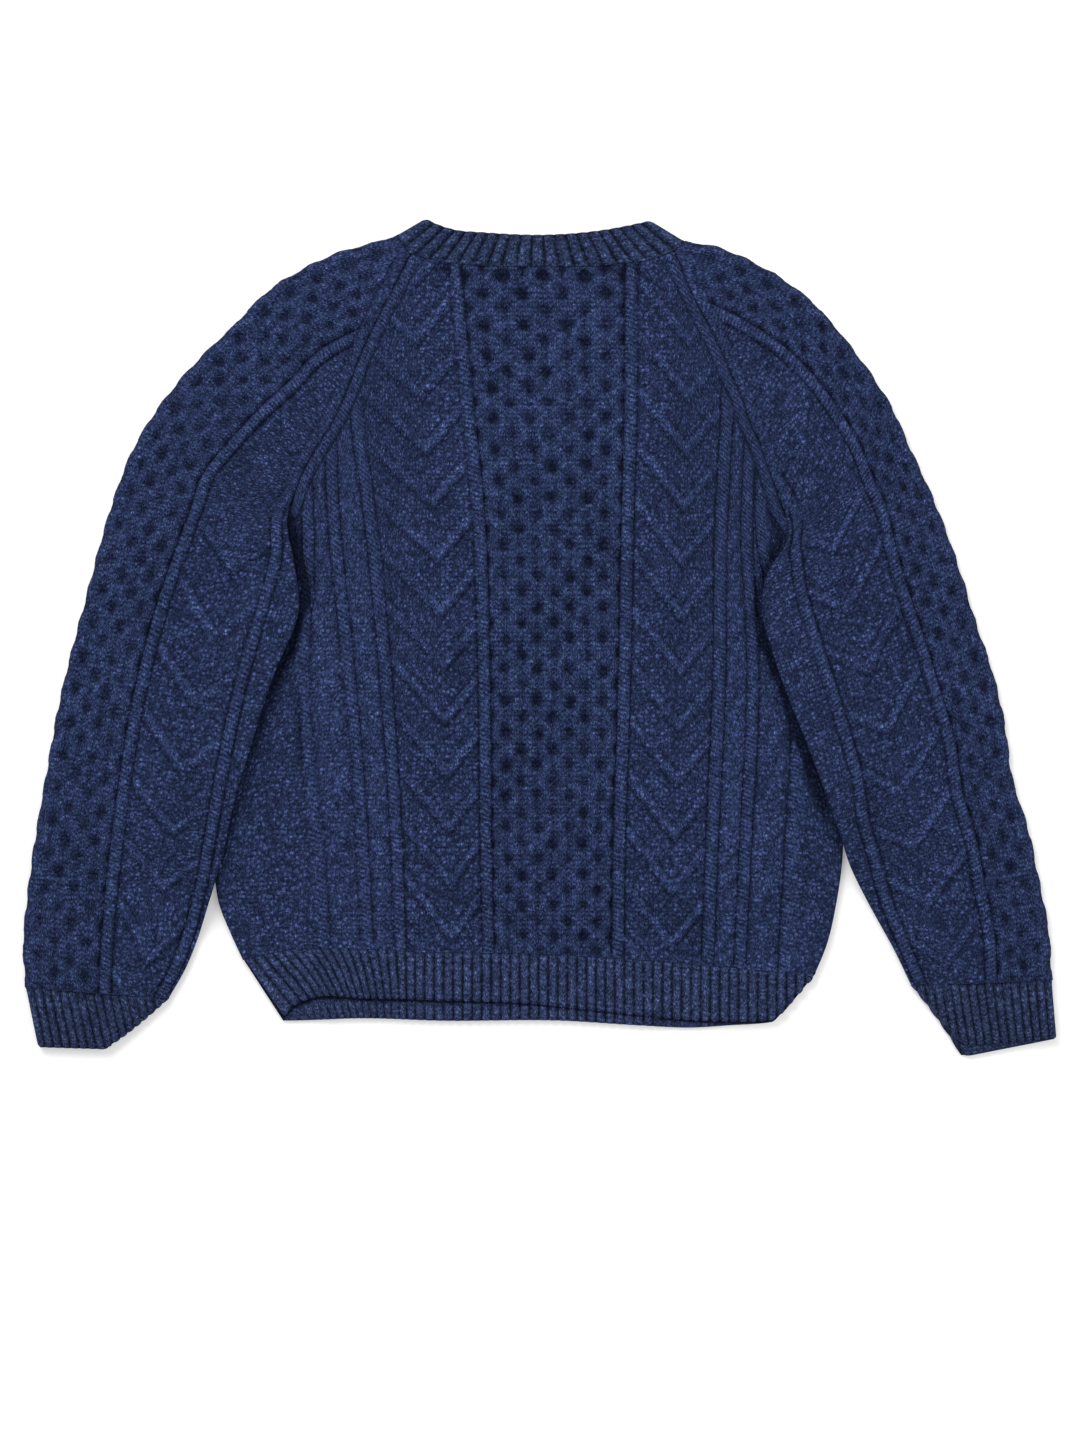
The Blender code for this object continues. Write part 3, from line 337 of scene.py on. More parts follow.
def creased(table, x, y):
    """Height of the listed creases at each point."""
    height = np.zeros_like(x)
    for x1, y1, x2, y2, half, rise in table:
        along = np.array([x2 - x1, y2 - y1], float)
        length = np.hypot(*along)
        along /= length
        run = (x - x1) * along[0] + (y - y1) * along[1]
        side = (x - x1) * along[1] - (y - y1) * along[0]
        bowed = side + 0.12 * length * ((run / length - 0.5) ** 2 - 0.25)
        ends = ease(run / (0.35 * length) + 0.35) * ease((length - run) / (0.35 * length) + 0.35)
        height += rise * ends * bell(bowed, half)
    return height


def sunk(table, x, y, half=6.0):
    """How deep the cloth sinks along a traced line whose depth changes."""
    line = traced(table, 160)
    near, depth = np.full(x.shape, 1e9), np.zeros_like(x)
    for px, py, deep in line:
        far = np.hypot(x - px, y - py)
        depth = np.where(far < near, deep, depth)
        near = np.minimum(near, far)
    return depth * bell(near, half)


side_left, side_right = traced(SIDE_LEFT), traced(SIDE_RIGHT)
raglan_left, raglan_right = traced(RAGLAN_LEFT), traced(RAGLAN_RIGHT)
hem_seam = traced(HEM_SEAM)
ARMPIT_LEFT, ARMPIT_RIGHT = SIDE_LEFT[0][1], SIDE_RIGHT[0][1]


# --- The raised patterns. Each gives a height, and which stitch shows: moss, ladder or plain knit ---


def uneven(a, b):
    """A number from -1 to 1 that looks random from one whole place to the next."""
    return np.sin(3.7 * a + 9.1 * b + 2.5 * np.sin(5.3 * b - 2.1 * a))


def comb(u, v):
    """Honeycomb: strands that bow round staggered pits, one strand between each two columns of pits."""
    column = np.round(u)
    step = (v + column - 1) / 2
    turn = np.round(step)
    rise = 2 * (step - turn) + 0.10 * uneven(column, turn)
    aside = u - column + 0.08 * uneven(turn, column + 5)
    size = 1 + 0.10 * uneven(column + 3, turn)
    far = np.hypot(aside / (0.41 * size), rise / (0.50 * size))
    pit = np.exp(-(far**3.0)) * (0.90 + 0.10 * uneven(turn + 2, column))
    strand = np.floor(u)
    middle = strand + 0.5 - 0.13 * np.cos(np.pi * (strand + v))
    crown = ridge(u - middle, 0.55)
    touch = bell(aside, 0.12) * ease((np.abs(rise) - 0.4) / 0.3)
    top = COMB_RIDGE * (0.25 + 0.75 * crown) - 1.8 * touch
    return top * (1 - pit) + (COMB_PIT + 0.5 * bell(far, 0.35)) * pit


def chevron(share, y, shape):
    """Stacked V ridges: height, and how much of each point lies on an arm or inside a V."""
    period, vertex, middle, rise = shape
    rest = y - vertex - rise * np.abs(share - middle)
    rest = (rest + period / 2) % period - period / 2
    across = rest * math.cos(math.radians(46))
    arm = ridge(across, ARM_HALF) ** 1.5
    under = 1.2 * bell(across + ARM_HALF + 0.5, 1.8) + 0.9 * bell(across - ARM_HALF - 0.4, 1.6)
    edges = ease(share / 0.06) * ease((1 - share) / 0.06)
    inside = ease((across - 4) / 3) * ease((20 - across) / 5)
    return (CHEVRON_HEIGHT * arm - 0.9 * under) * edges, arm * edges, inside


def cable(share, y, lean):
    """A slim two-strand cable, its strands slanting across."""
    turn = y / CABLE_STEP + lean * (share - 0.5) * 0.95
    strand = np.abs(np.sin(np.pi * turn)) ** 0.7
    return CABLE_HEIGHT * strand * ridge(share - 0.5, 0.52) - 0.5 * bell(np.minimum(share, 1 - share), 0.1)


def braid(share, y):
    """Two low strands that swing across each other."""
    swing = 0.25 * np.sin(np.pi * y / BRAID_STEP)
    one = ridge(share - 0.5 - swing, 0.2)
    two = ridge(share - 0.5 + swing, 0.2)
    over = 0.6 + 0.4 * np.cos(np.pi * y / BRAID_STEP)
    return BRAID_HEIGHT * np.maximum(one * over, two * (1.6 - over) / 1.2)


def rope(distance):
    """A narrow raised column with a groove on each side."""
    groove = bell(np.abs(distance) - ROPE_HALF - 0.9, 1.3)
    return ROPE_HEIGHT * ridge(distance, ROPE_HALF) - 1.7 * groove


def beside_ropes(height, moss, knit, near):
    """Adds the ropes, whose middles are `near`, to a pattern that dies out beside them."""
    on_rope = ease((ROPE_HALF + 0.5 - near) / 1.2)
    height = height * ease((near - ROPE_HALF + 0.4) / 2.4) + rope(near)
    return height, np.stack([moss * (1 - on_rope), on_rope, knit * (1 - on_rope)], -1)


def chain(distance):
    """The seam's dip, and the chain of stitches beside it."""
    stitches = CHAIN_HEIGHT * ridge(distance - 1.2 - CHAIN_HALF, CHAIN_HALF)
    beyond = 0.7 * bell(distance - 1.8 - 2 * CHAIN_HALF - 0.8, 1.3)
    return stitches - 1.5 * bell(distance, 1.1) - beyond


# --- Shells ---


class Shell:
    """Gathers one piece's grids of points, with each point's place in the knitting and its stitch."""

    def __init__(self, name):
        self.name = name
        self.points, self.places, self.stitches, self.faces = [], [], [], []
        self.count = 0

    def grid(self, points, place, stitch, wrap=False):
        """Adds a grid of points as quads and gives its point numbers."""
        rows, cols = points.shape[:2]
        ids = self.count + np.arange(rows * cols).reshape(rows, cols)
        self.count += rows * cols
        self.points.append(points.reshape(-1, 3))
        self.places.append(place.reshape(-1, 3))
        self.stitches.append(stitch.reshape(-1, 3))
        ring = np.column_stack([ids, ids[:, 0]]) if wrap else ids
        quads = np.stack([ring[:-1, :-1], ring[:-1, 1:], ring[1:, 1:], ring[1:, :-1]], -1)
        self.faces += quads.reshape(-1, 4).tolist()
        return ids

    def sew(self, fine, coarse):
        """Joins a long row of points to a shorter one."""
        steps = np.round(np.linspace(0, len(fine) - 1, len(coarse))).astype(int)
        for k in range(len(coarse) - 1):
            middle = (steps[k] + steps[k + 1] + 1) // 2
            for i in range(steps[k], steps[k + 1]):
                self.faces.append((fine[i], fine[i + 1], coarse[k] if i < middle else coarse[k + 1]))
            self.faces.append((fine[middle], coarse[k + 1], coarse[k]))

    def close(self, outer, inner, wrap):
        """Sews the borders of the outer grid to those of the inner one."""
        if wrap:
            outer, inner = np.column_stack([outer, outer[:, 0]]), np.column_stack([inner, inner[:, 0]])
        else:
            self.sew(outer[:, 0], inner[:, 0])
            self.sew(outer[:, -1], inner[:, -1])
        self.sew(outer[0], inner[0])
        self.sew(outer[-1], inner[-1])

    def make(self, material):
        points = np.concatenate(self.points) - [*TABLES_MIDDLE, 0]
        mesh = bpy.data.meshes.new(self.name)
        mesh.from_pydata((points * MM).tolist(), [], [tuple(int(i) for i in f) for f in self.faces])
        for label, values in (("place", self.places), ("stitch", self.stitches)):
            layer = mesh.attributes.new(label, "FLOAT_VECTOR", "POINT")
            layer.data.foreach_set("vector", np.concatenate(values).ravel())
        mesh.shade_smooth()
        mesh.materials.append(material)
        piece = bpy.data.objects.new(self.name, mesh)
        bpy.context.scene.collection.objects.link(piece)
        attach(piece, "root")
        return piece


def normals(points, wrap, up):
    """The cloth's own outward direction at each point of a grid."""
    padded = np.concatenate([points[:, -1:], points, points[:, :1]], axis=1) if wrap else points
    across = np.gradient(padded, axis=1)
    along = np.gradient(padded, axis=0)
    out = np.cross(across, along)
    out = out[:, 1:-1] if wrap else out
    out /= np.linalg.norm(out, axis=2)[..., None] + 1e-12
    return out if (np.median(out[:, up, 2]) > 0) else -out


def coarse_steps(count, step, wrap=False):
    """Every so many of a grid's rows, and the last one unless the grid closes on itself."""
    if wrap:
        return list(range(0, count, step))
    return [*range(0, count - 1, step), count - 1]


def two_faced(name, outer, inner, place, stitch, wrap, step, material):
    """A closed shell between a fine outer grid and every so many points of an inner one."""
    shell = Shell(name)
    fine = shell.grid(outer, place, stitch, wrap)
    rows, cols = coarse_steps(outer.shape[0], step), coarse_steps(outer.shape[1], step, wrap)
    pick = np.ix_(rows, cols)
    coarse = shell.grid(inner[pick], place[pick], stitch[pick], wrap)
    shell.close(fine, coarse, wrap)
    return shell.make(material)


def shell_of(name, base, height, place, stitch, wrap, up, step, material, lining=None, least=0.0):
    """A closed shell: the raised outer grid, and a plain inner one a wall's thickness inside the base.

    The outer grid rests on the table at its lowest, and the inner one on what is `least` above it.
    """
    out = normals(base, wrap, up)
    # The relief's height goes into the place's third entry, which paints shade in the hollows and light on
    # the crests
    place = np.dstack([place[..., 0], place[..., 1], place[..., 2] + height])
    outer = base + out * height[..., None]
    outer[..., 2] = np.maximum(outer[..., 2], 0.0)
    inner = base - out * WALL
    if lining is not None:
        inner = inner - out * lining[..., None]
    inner[..., 2] = np.maximum(inner[..., 2], least)
    return two_faced(name, outer, inner, place, stitch, wrap, step, material)


# --- The body ---


def body_sides(y):
    """x of both sides at the heights y, and of lines that go on up from the armpits."""
    left = x_of(side_left, np.minimum(y, ARMPIT_LEFT)) - 0.02 * np.maximum(y - ARMPIT_LEFT, 0)
    right = x_of(side_right, np.minimum(y, ARMPIT_RIGHT)) + 0.02 * np.maximum(y - ARMPIT_RIGHT, 0)
    return left, right


def columns(y):
    """x of the left fold's top, the eight ropes and the right fold's top at the heights y."""
    table = np.array(ROPES, float)
    ropes = smooth(table[:, 1:], y, table[:, 0])
    left, right = body_sides(y)
    return np.column_stack([left + FOLD, ropes, right - FOLD])


def body_x(t, y):
    """x of the wale t, which runs from -1 at the left fold through the nine bands to 10."""
    across = columns(y)
    band = np.clip(np.floor(t).astype(int), 0, 8)
    rows = np.arange(len(y))
    left, right = across[rows, band], across[rows, band + 1]
    inner = left + (t - band) * (right - left)
    fold_left = across[:, 0] - FOLD * np.sin(np.clip(-t, 0, 1) * np.pi / 2) + 0.2 * np.clip(-t, 0, 1)
    fold_right = across[:, 9] + FOLD * np.sin(np.clip(t - 9, 0, 1) * np.pi / 2) - 0.2 * np.clip(t - 9, 0, 1)
    return np.where(t < 0, fold_left, np.where(t > 9, fold_right, inner))


def body_spots(coarser):
    """The wales' places across the body, close enough together for its patterns."""
    across = columns(np.array([0.0]))[0]
    spots = list(np.linspace(-1, 0, TURN_STEPS + 1)[:-1])
    for band, kind in enumerate(BANDS):
        count = max(2, round((across[band + 1] - across[band]) / GRAIN[kind] / coarser))
        spots += list(band + np.arange(count) / count)
    return np.array(spots + list(np.linspace(9, 10, TURN_STEPS + 1)))


def top_edge(neck):
    """The body's upper edge from armpit to armpit, a seam's half gap inside the line."""
    low_left, low_right = neck[0][1], neck[-1][1]
    left = [p for p in RAGLAN_LEFT if p[1] < low_left - 4]
    right = [p for p in RAGLAN_RIGHT if p[1] < low_right - 4][::-1]
    runs = [traced(left + [neck[0]]), traced(neck)[1:], traced([neck[-1]] + right)[1:]]
    return inset(np.concatenate(runs), SEAM_GAP / 2)


def body_grid(neck, coarser, courses):
    """x, y and t of a body panel's grid, from the hem's seam to the neck and raglan seams."""
    t = body_spots(coarser)
    low, high = hem_seam + [0, SEAM_GAP / 2], top_edge(neck)
    bottom, top = np.full(len(t), -260.0), np.full(len(t), 250.0)
    for _ in range(40):
        bottom = y_of(low, body_x(t, bottom))
        top += 0.35 * (y_of(high, body_x(t, top)) - top)
    rise = np.linspace(0, 1, courses)[:, None]
    y = bottom + (top - bottom) * rise
    t = np.broadcast_to(t, y.shape)
    x = body_x(t.ravel(), y.ravel()).reshape(y.shape)
    return x, y, t, y - bottom, top - y


def body_level(x, y):
    """How high a panel's outer face stands above the mid-plane."""
    left, right = body_sides(y)
    return fold_height(np.minimum(x - left, right - x))


def body_puff(x, y):
    """Rise of the back in broad soft swells that die out at its edges."""
    left, right = x_of(side_left, np.minimum(y, 80)), x_of(side_right, np.minimum(y, 80))
    sides = ease((x - left - 35) / 60) * ease((right - x - 35) / 60)
    ends = ease((y + 265) / 60) * ease((300 - y) / 60)
    swell = 0.55 + 0.25 * np.sin(x / 47 + y / 90) + 0.2 * np.sin(y / 61 - x / 80 + 1)
    return PUFF * sides * ends * swell


def body_relief(x, y, t):
    """Height of the back's patterns, and its stitches."""
    flat_y, flat_t, flat_x = y.ravel(), t.ravel(), x.ravel()
    across = columns(flat_y)
    band = np.clip(np.floor(flat_t).astype(int), 0, 8)
    rows = np.arange(len(flat_y))
    left = across[rows, band] + np.where(band > 0, ROPE_HALF, 0)
    right = across[rows, band + 1] - np.where(band < 8, ROPE_HALF, 0)
    share = np.clip((flat_x - left) / (right - left), 0, 1)
    height = np.zeros_like(flat_x)
    moss, knit = np.zeros_like(flat_x), np.zeros_like(flat_x)
    for number, kind in enumerate(BANDS):
        here = band == number
        on_left = number < 4
        s, v = share[here], flat_y[here]
        if kind == "chevron":
            height[here], knit[here], inside = chevron(s, v, CHEVRON_LEFT if on_left else CHEVRON_RIGHT)
            moss[here] = 0.8 + 0.2 * inside
            continue
        moss[here], knit[here] = STITCHES[kind]
        if kind == "comb":
            height[here] = comb(8 * s, v / COMB_STEP)
        elif kind == "cable":
            height[here] = cable(s, v, 1 if on_left else -1)
        elif kind == "braid":
            height[here] = braid(s, v)
    near = np.abs(flat_x[:, None] - across[:, 1:9]).min(axis=1)
    height, stitch = beside_ropes(height, moss, knit, near)
    return height.reshape(x.shape), stitch.reshape(*x.shape, 3)


def along_seam(height, stitch, distance, present=1.0):
    """Turns the pattern into the seam's chain within its width."""
    near = ease((2 * CHAIN_HALF + 4.5 - distance) / 2.5) * present
    height = height * (1 - near) + chain(distance) * near
    ladder = near * ease((CHAIN_HALF + 1 - np.abs(distance - 1.2 - CHAIN_HALF)) / 1.5)
    rest = 1 - near[..., None]
    return height, stitch * rest + np.stack([0 * near, ladder, 0 * near], -1) * near[..., None]


def lengths(base, axis):
    """How far each point of a grid lies along its row or column, over the cloth."""
    steps = np.linalg.norm(np.diff(base, axis=axis), axis=2)
    start = np.zeros_like(np.take(steps, [0], axis=axis))
    return np.concatenate([start, np.cumsum(steps, axis=axis)], axis=axis)


def body_place(base):
    """Distances over a panel, from the line down its middle and from the hem."""
    around = lengths(base, 1)
    middle = np.abs(base[:, :, 0]).argmin(axis=1)
    around -= np.take_along_axis(around, middle[:, None], axis=1)
    return np.stack([around, base[:, :, 1], 0 * around], -1)


def back_panel(material):
    """The panel on top, with all its patterns."""
    x, y, t, above, below = body_grid(NECK_BACK, 1.0, 310)
    z = FOLD + np.maximum(body_level(x, y), SEAM_GAP / 2) + body_puff(x, y)
    deep = sunk(TROUGH_LEFT, x, y) + sunk(TROUGH_RIGHT, x, y)
    soft = creased(BODY_CREASES, x, y) - deep
    pressed = z + soft * ease((body_level(x, y) - 3) / 1.4)
    base = np.stack([x, y, np.maximum(pressed, np.minimum(z, PRESSED))], -1)
    height, stitch = body_relief(x, y, t)
    sides = ease((t + 0.9) / 0.9) * ease((9.9 - t) / 0.9)
    height = height * (0.25 + 0.75 * sides)
    on_raglan = np.minimum(
        np.where(y > ARMPIT_LEFT - 12, distance_to(raglan_left, x, y), 1e3),
        np.where(y > ARMPIT_RIGHT - 12, distance_to(raglan_right, x, y), 1e3),
    )
    height, stitch = along_seam(height, stitch, on_raglan)
    height = height * ease((above + 2) / 6) * ease((below + 2) / 5) * (1 - 0.8 * ease(deep / 5))
    under_band = bell(below - UNDER_BAND, UNDER_BAND_HALF)
    under_band *= ease((UNDER_BAND_END[0] - np.abs(x)) / UNDER_BAND_END[1])
    height = height - UNDER_BAND_DEEP * under_band
    place = body_place(base)
    # Painted shade: the colour is darkened in the troughs beside the sleeves and in the dip under the
    # neckband
    place[:, :, 2] = -0.7 * deep - 0.8 * under_band
    return shell_of(
        "back_knit", base, height, place, stitch, False, slice(20, -20), 12, material,
        least=BACK_LINING,
    )


def front_panel(material):
    """The plain panel underneath, its outer face down."""
    x, y, _, _, _ = body_grid(NECK_FRONT, 3.0, 110)
    z = FOLD - np.maximum(body_level(x, y), SEAM_GAP / 2)
    base = np.stack([x, y, z], -1)
    stitch = np.stack([np.full_like(x, 0.5), 0 * x, 0.5 + 0 * x], -1)
    inner = base + normals(base, False, slice(20, -20)) * WALL
    return two_faced("front_knit", base, inner, body_place(base), stitch, False, 4, material)


# --- The sleeves ---


class Sleeve:
    """The map from a place along a sleeve and a distance in from its outer fold to x and y."""

    def __init__(self, rows, raglan, side, front_neck, armpit_row):
        table = np.array(rows, float)
        self.reach = np.concatenate([[0], np.cumsum(np.hypot(*np.diff(table[:, :2], axis=0).T))])
        self.raglan = raglan
        self.side = side
        self.sign = 1 if table[0, 0] < 0 else -1
        self.armpit = self.reach[armpit_row]
        self.length = self.reach[-1]
        front = table.copy()
        front[-1, 2:4] = front_neck
        self.tables = {"back": table, "front": front}

    def section(self, s, layer="back"):
        """Outer points, inner points and the first rope's distances."""
        row = smooth(self.tables[layer], s, self.reach)
        outer, inner = row[:, :2], row[:, 2:4].copy()
        on_seam = s > self.armpit
        inner[on_seam, 0] = x_of(self.raglan, inner[on_seam, 1])
        return outer, inner, row[:, 4]

    def width(self, s, layer="back"):
        """From the outer fold to the inner one or the raglan seam."""
        outer, inner, _ = self.section(s, layer)
        return np.hypot(*(inner - outer).T) - SEAM_GAP / 2

    def rope(self, s):
        """The rope beside the honeycomb."""
        return self.section(s)[2]

    def second(self, s):
        """The rope at the far side of the chevron panel, squeezed where the sleeve is narrow."""
        wide, narrow = self.rope(s) + SLEEVE_PANEL, self.width(np.minimum(s, self.armpit)) - UNDERARM
        return (wide + narrow - np.sqrt((wide - narrow) ** 2 + ROPE_SOFTENING**2)) / 2

    def across(self, t, s, layer="back"):
        """Distance from the outer fold of the wale t, from -1 at the outer fold to 4 at the inner one."""
        whole = self.width(np.minimum(s, self.armpit), layer)
        stops = np.stack([np.full_like(s, FOLD), self.rope(s), self.second(s), whole - FOLD], -1)
        zone = np.clip(np.floor(t).astype(int), 0, 2)
        rows = np.arange(len(s))
        inner = stops[rows, zone] + (t - zone) * (stops[rows, zone + 1] - stops[rows, zone])
        first = FOLD * (1 - np.sin(np.clip(-t, 0, 1) * np.pi / 2))
        last = whole - FOLD * (1 - np.sin(np.clip(t - 3, 0, 1) * np.pi / 2))
        return np.where(t < 0, first, np.where(t > 3, last, inner))

    def ends(self, t, layer):
        """How far along each wale runs, up to the raglan seam or the neck."""
        steps = np.linspace(self.armpit, self.length - NECK_GAP, 260)
        widths = self.width(steps, layer)
        found = np.empty(len(t))
        for n, spot in enumerate(t):
            beyond = self.across(np.full_like(steps, spot), steps, layer) - widths
            over = np.flatnonzero(beyond > 0)
            k = over[0] if len(over) else -1
            found[n] = steps[k]
            if k > 0:
                share = -beyond[k - 1] / (beyond[k] - beyond[k - 1])
                found[n] = steps[k - 1] + share * (steps[k] - steps[k - 1])
        return found

    def lift(self, x, y):
        """How far the sleeve is raised where it lies on the body."""
        side_y = np.clip(y, self.side[-1, 1], self.side[0, 1])
        depth = self.sign * (x - x_of(self.side, side_y))
        ramp = ease((self.side[0, 1] - y) / ARMPIT_RAMP)
        return LIFT * ease((depth + LIFT_RUN) / LIFT_RUN) * ramp


def sleeve_grid(sleeve, courses):
    """The grid round a sleeve: t, s and w, of the upper layer first and then of the under one."""
    reach = sleeve.width(np.array([sleeve.armpit * 0.5]))[0]
    moss_span = max(reach - SLEEVE_BOTH_SPAN, SLEEVE_MOSS_LEAST)
    turn = np.linspace(0, 1, TURN_STEPS + 1)
    upper = list(turn[:-1] - 1)
    for zone, span in enumerate([sleeve.rope(np.array([200.0]))[0], SLEEVE_PANEL_SPAN, moss_span]):
        count = round(span / SLEEVE_GRAIN)
        upper += list(zone + np.arange(count) / count)
    upper += list(3 + turn)
    under = [*np.linspace(4, 3, TURN_STEPS + 1)[1:], *np.linspace(3, 0, 30)[1:-1]]
    under += list(np.linspace(0, -1, TURN_STEPS + 1)[:-1])
    layers = []
    for spots, layer in ((np.array(upper), "back"), (np.array(under), "front")):
        high = sleeve.ends(spots, layer)
        s = SEAM_GAP / 2 + (high - SEAM_GAP / 2) * np.linspace(0, 1, courses)[:, None]
        t = np.broadcast_to(spots, s.shape)
        w = sleeve.across(t.ravel(), s.ravel(), layer).reshape(s.shape)
        layers.append((t, s, w))
    return layers


def sleeve_base(sleeve, s, w, layer, creases):
    """The plain form's points, and their distances from the outer fold held inside the seam."""
    flat_s = s.ravel()
    outer, inner, _ = sleeve.section(flat_s, layer)
    way = (inner - outer) / np.hypot(*(inner - outer).T)[:, None]
    whole = np.hypot(*(inner - outer).T).reshape(s.shape) - SEAM_GAP / 2
    w = np.minimum(w, whole)
    x, y = (outer + way * w.ravel()[:, None]).T.reshape(2, *s.shape)
    lift = sleeve.lift(x, y)
    tube = ease((sleeve.armpit + 12 - s) / 12)
    level = fold_height(w) * (1 - tube) + fold_height(np.minimum(w, whole - w)) * tube
    if layer == "front":
        return np.stack([x, y, FOLD - level + lift], -1), w
    puff = PUFF * ease((w - 14) / 40) * ease((whole - w - 14) / 40)
    soft = creased(creases, x, y) * ease((w - 4) / 8) * ease((whole - w - 4) / 8)
    return np.stack([x, y, FOLD + level + puff + lift + soft], -1), w


def sleeve_relief(sleeve, s, w, pits, chevrons):
    """Height of a sleeve's patterns above its plain form, and its stitches."""
    first = sleeve.rope(s.ravel()).reshape(s.shape)
    second = sleeve.second(s.ravel()).reshape(s.shape)
    honey = 0.8 * comb(w / (first - ROPE_HALF) * pits, s / SLEEVE_COMB_STEP)
    share = np.clip((w - first - ROPE_HALF) / (second - first - 2 * ROPE_HALF), 0, 1)
    arms, arm, inside = chevron(share, s, chevrons)
    quiet = 0.3 + 0.5 * ease((sleeve.armpit - 20 - s) / 50)
    arms, arm = arms * quiet, arm * quiet
    in_comb, in_arms = w < first, (w >= first) & (w < second)
    height = np.where(in_comb, honey, np.where(in_arms, arms, 0.0))
    knit = np.where(in_comb, 1.0, np.where(in_arms, arm, 0.0))
    moss = np.where(in_comb, 0.0, np.where(in_arms, 0.8 + 0.2 * inside, 1.0))
    return beside_ropes(height, moss, knit, np.minimum(np.abs(w - first), np.abs(w - second)))


def sleeve_outer_fold(w, s):
    """Height of the honeycomb that goes on round the outer fold on to the under layer."""
    low = comb(-w / 13.0, s / SLEEVE_COMB_STEP) * ease((9 - w) / 8)
    return np.minimum(low, np.maximum(0.0, 3.6 * (1 - w / 4)))


def sleeve_piece(name, sleeve, pits, chevrons, creases, material):
    """A sleeve, from the cuff's seam to the neck."""
    (t, s, w), (_, s_low, w_low) = sleeve_grid(sleeve, 470)
    upper, w = sleeve_base(sleeve, s, w, "back", creases)
    under, w_low = sleeve_base(sleeve, s_low, w_low, "front", creases)
    height, stitch = sleeve_relief(sleeve, s, w, pits, chevrons)
    beyond = ease((s - sleeve.armpit + 4) / 8)
    on_seam = distance_to(sleeve.raglan, upper[..., 0], upper[..., 1])
    height, stitch = along_seam(height, stitch, on_seam, 0.6 * beyond)
    height = height * (1 - 0.6 * (ease((t - 3) / 1.0) * (1 - beyond)))
    to_end = sleeve.length - NECK_GAP - s
    height = height * ease((s + 2) / 6) * ease((to_end + 2) / 5)
    height = height * (0.55 + 0.45 * ease((w - 1) / 7))
    plain = np.stack([0.5 + 0 * w_low, 0 * w_low, 0.5 + 0 * w_low], -1)
    whole_low = sleeve.width(s_low.ravel(), "front").reshape(s_low.shape)
    around = np.concatenate([w, 2 * whole_low - w_low], axis=1)
    along = np.concatenate([s, s_low], axis=1)
    return shell_of(
        name,
        np.concatenate([upper, under], axis=1),
        np.concatenate([height, sleeve_outer_fold(w_low, s_low)], axis=1),
        np.stack([around, along, 0 * along], -1),
        np.concatenate([stitch, plain], axis=1),
        True, slice(20, t.shape[1] - 20), 6, material,
    )


# --- Ribbed bands ---


def rib_shape(count):
    """1 on the crown of a rib and 0 in the furrow beside it, at a place counted in ribs."""
    return ridge(count % 1 - 0.5, 0.42) ** 1.3


def rib_stitch(crown, wide, from_free, relief=0.0):
    """A rib's stitches and its place in the knitting, `wide` ribs from the first, with `relief` as painted
    shade below zero and painted light above it.
    """
    stitch = np.stack([0.25 * (1 - crown), 0 * crown, crown], -1)
    return stitch, np.stack([wide * 2 * STITCH_WIDTH, from_free, relief + 0 * wide], -1)


def at_seam(to_seam):
    """How much of the ribs' height is left close to the seam."""
    return 0.35 + 0.65 * ease((to_seam + 1) / 5)


def rounded(from_free):
    """How far the face has turned down at the free edge, 1 at the very edge."""
    return 1 - ridge(np.clip(EDGE_ROUND - from_free, 0, EDGE_ROUND), EDGE_ROUND)


def rib_lining(crown, depth, from_free, to_seam):
    """How far the inner face rises into the crowns."""
    return -depth * crown * ease(from_free / 2) * ease((to_seam - 3) / 4)


def fold_shares(fold):
    """Places round a side fold that takes this share of a band's width."""
    return fold * (1 - np.cos(np.linspace(0, np.pi / 2, TURN_STEPS + 1)))[:-1]


def fold_level(share, fold):
    """How far a band's face stands from its mid-plane."""
    depth = np.clip(np.minimum(share, 1 - share) / fold, 0, 1)
    return FOLD * np.sqrt(np.maximum(1 - (1 - depth) ** 2, 0))


def tube_form(back, front, ribs, fold, courses):
    """The plain form of a flattened tube: points, share across, share along, and which are on top."""
    first = fold_shares(fold)
    upper = np.concatenate([first, np.linspace(fold, 1 - fold, RIB_GRAIN * ribs), 1 - first[::-1]])
    under = np.linspace(1 - fold, fold, RIB_GRAIN_UNDER * ribs)
    under = np.concatenate([1 - first[1:], under, first[:0:-1]])
    # As many columns as the inner grid's steps need
    under = np.delete(under, np.arange(12, 12 + (len(upper) + len(under)) % INNER_RIB_STEP))
    sides = []
    for shares, mapped, sign in ((upper, back, 1), (under, front, -1)):
        share, run = np.meshgrid(shares, np.linspace(0, 1, courses))
        x, y, lift = mapped(share, run)
        points = np.stack([x, y, FOLD + sign * fold_level(share, fold) + lift], -1)
        sides.append((points, share, run, np.full(share.shape, sign > 0)))
    return [np.concatenate(both, axis=1) for both in zip(*sides)]


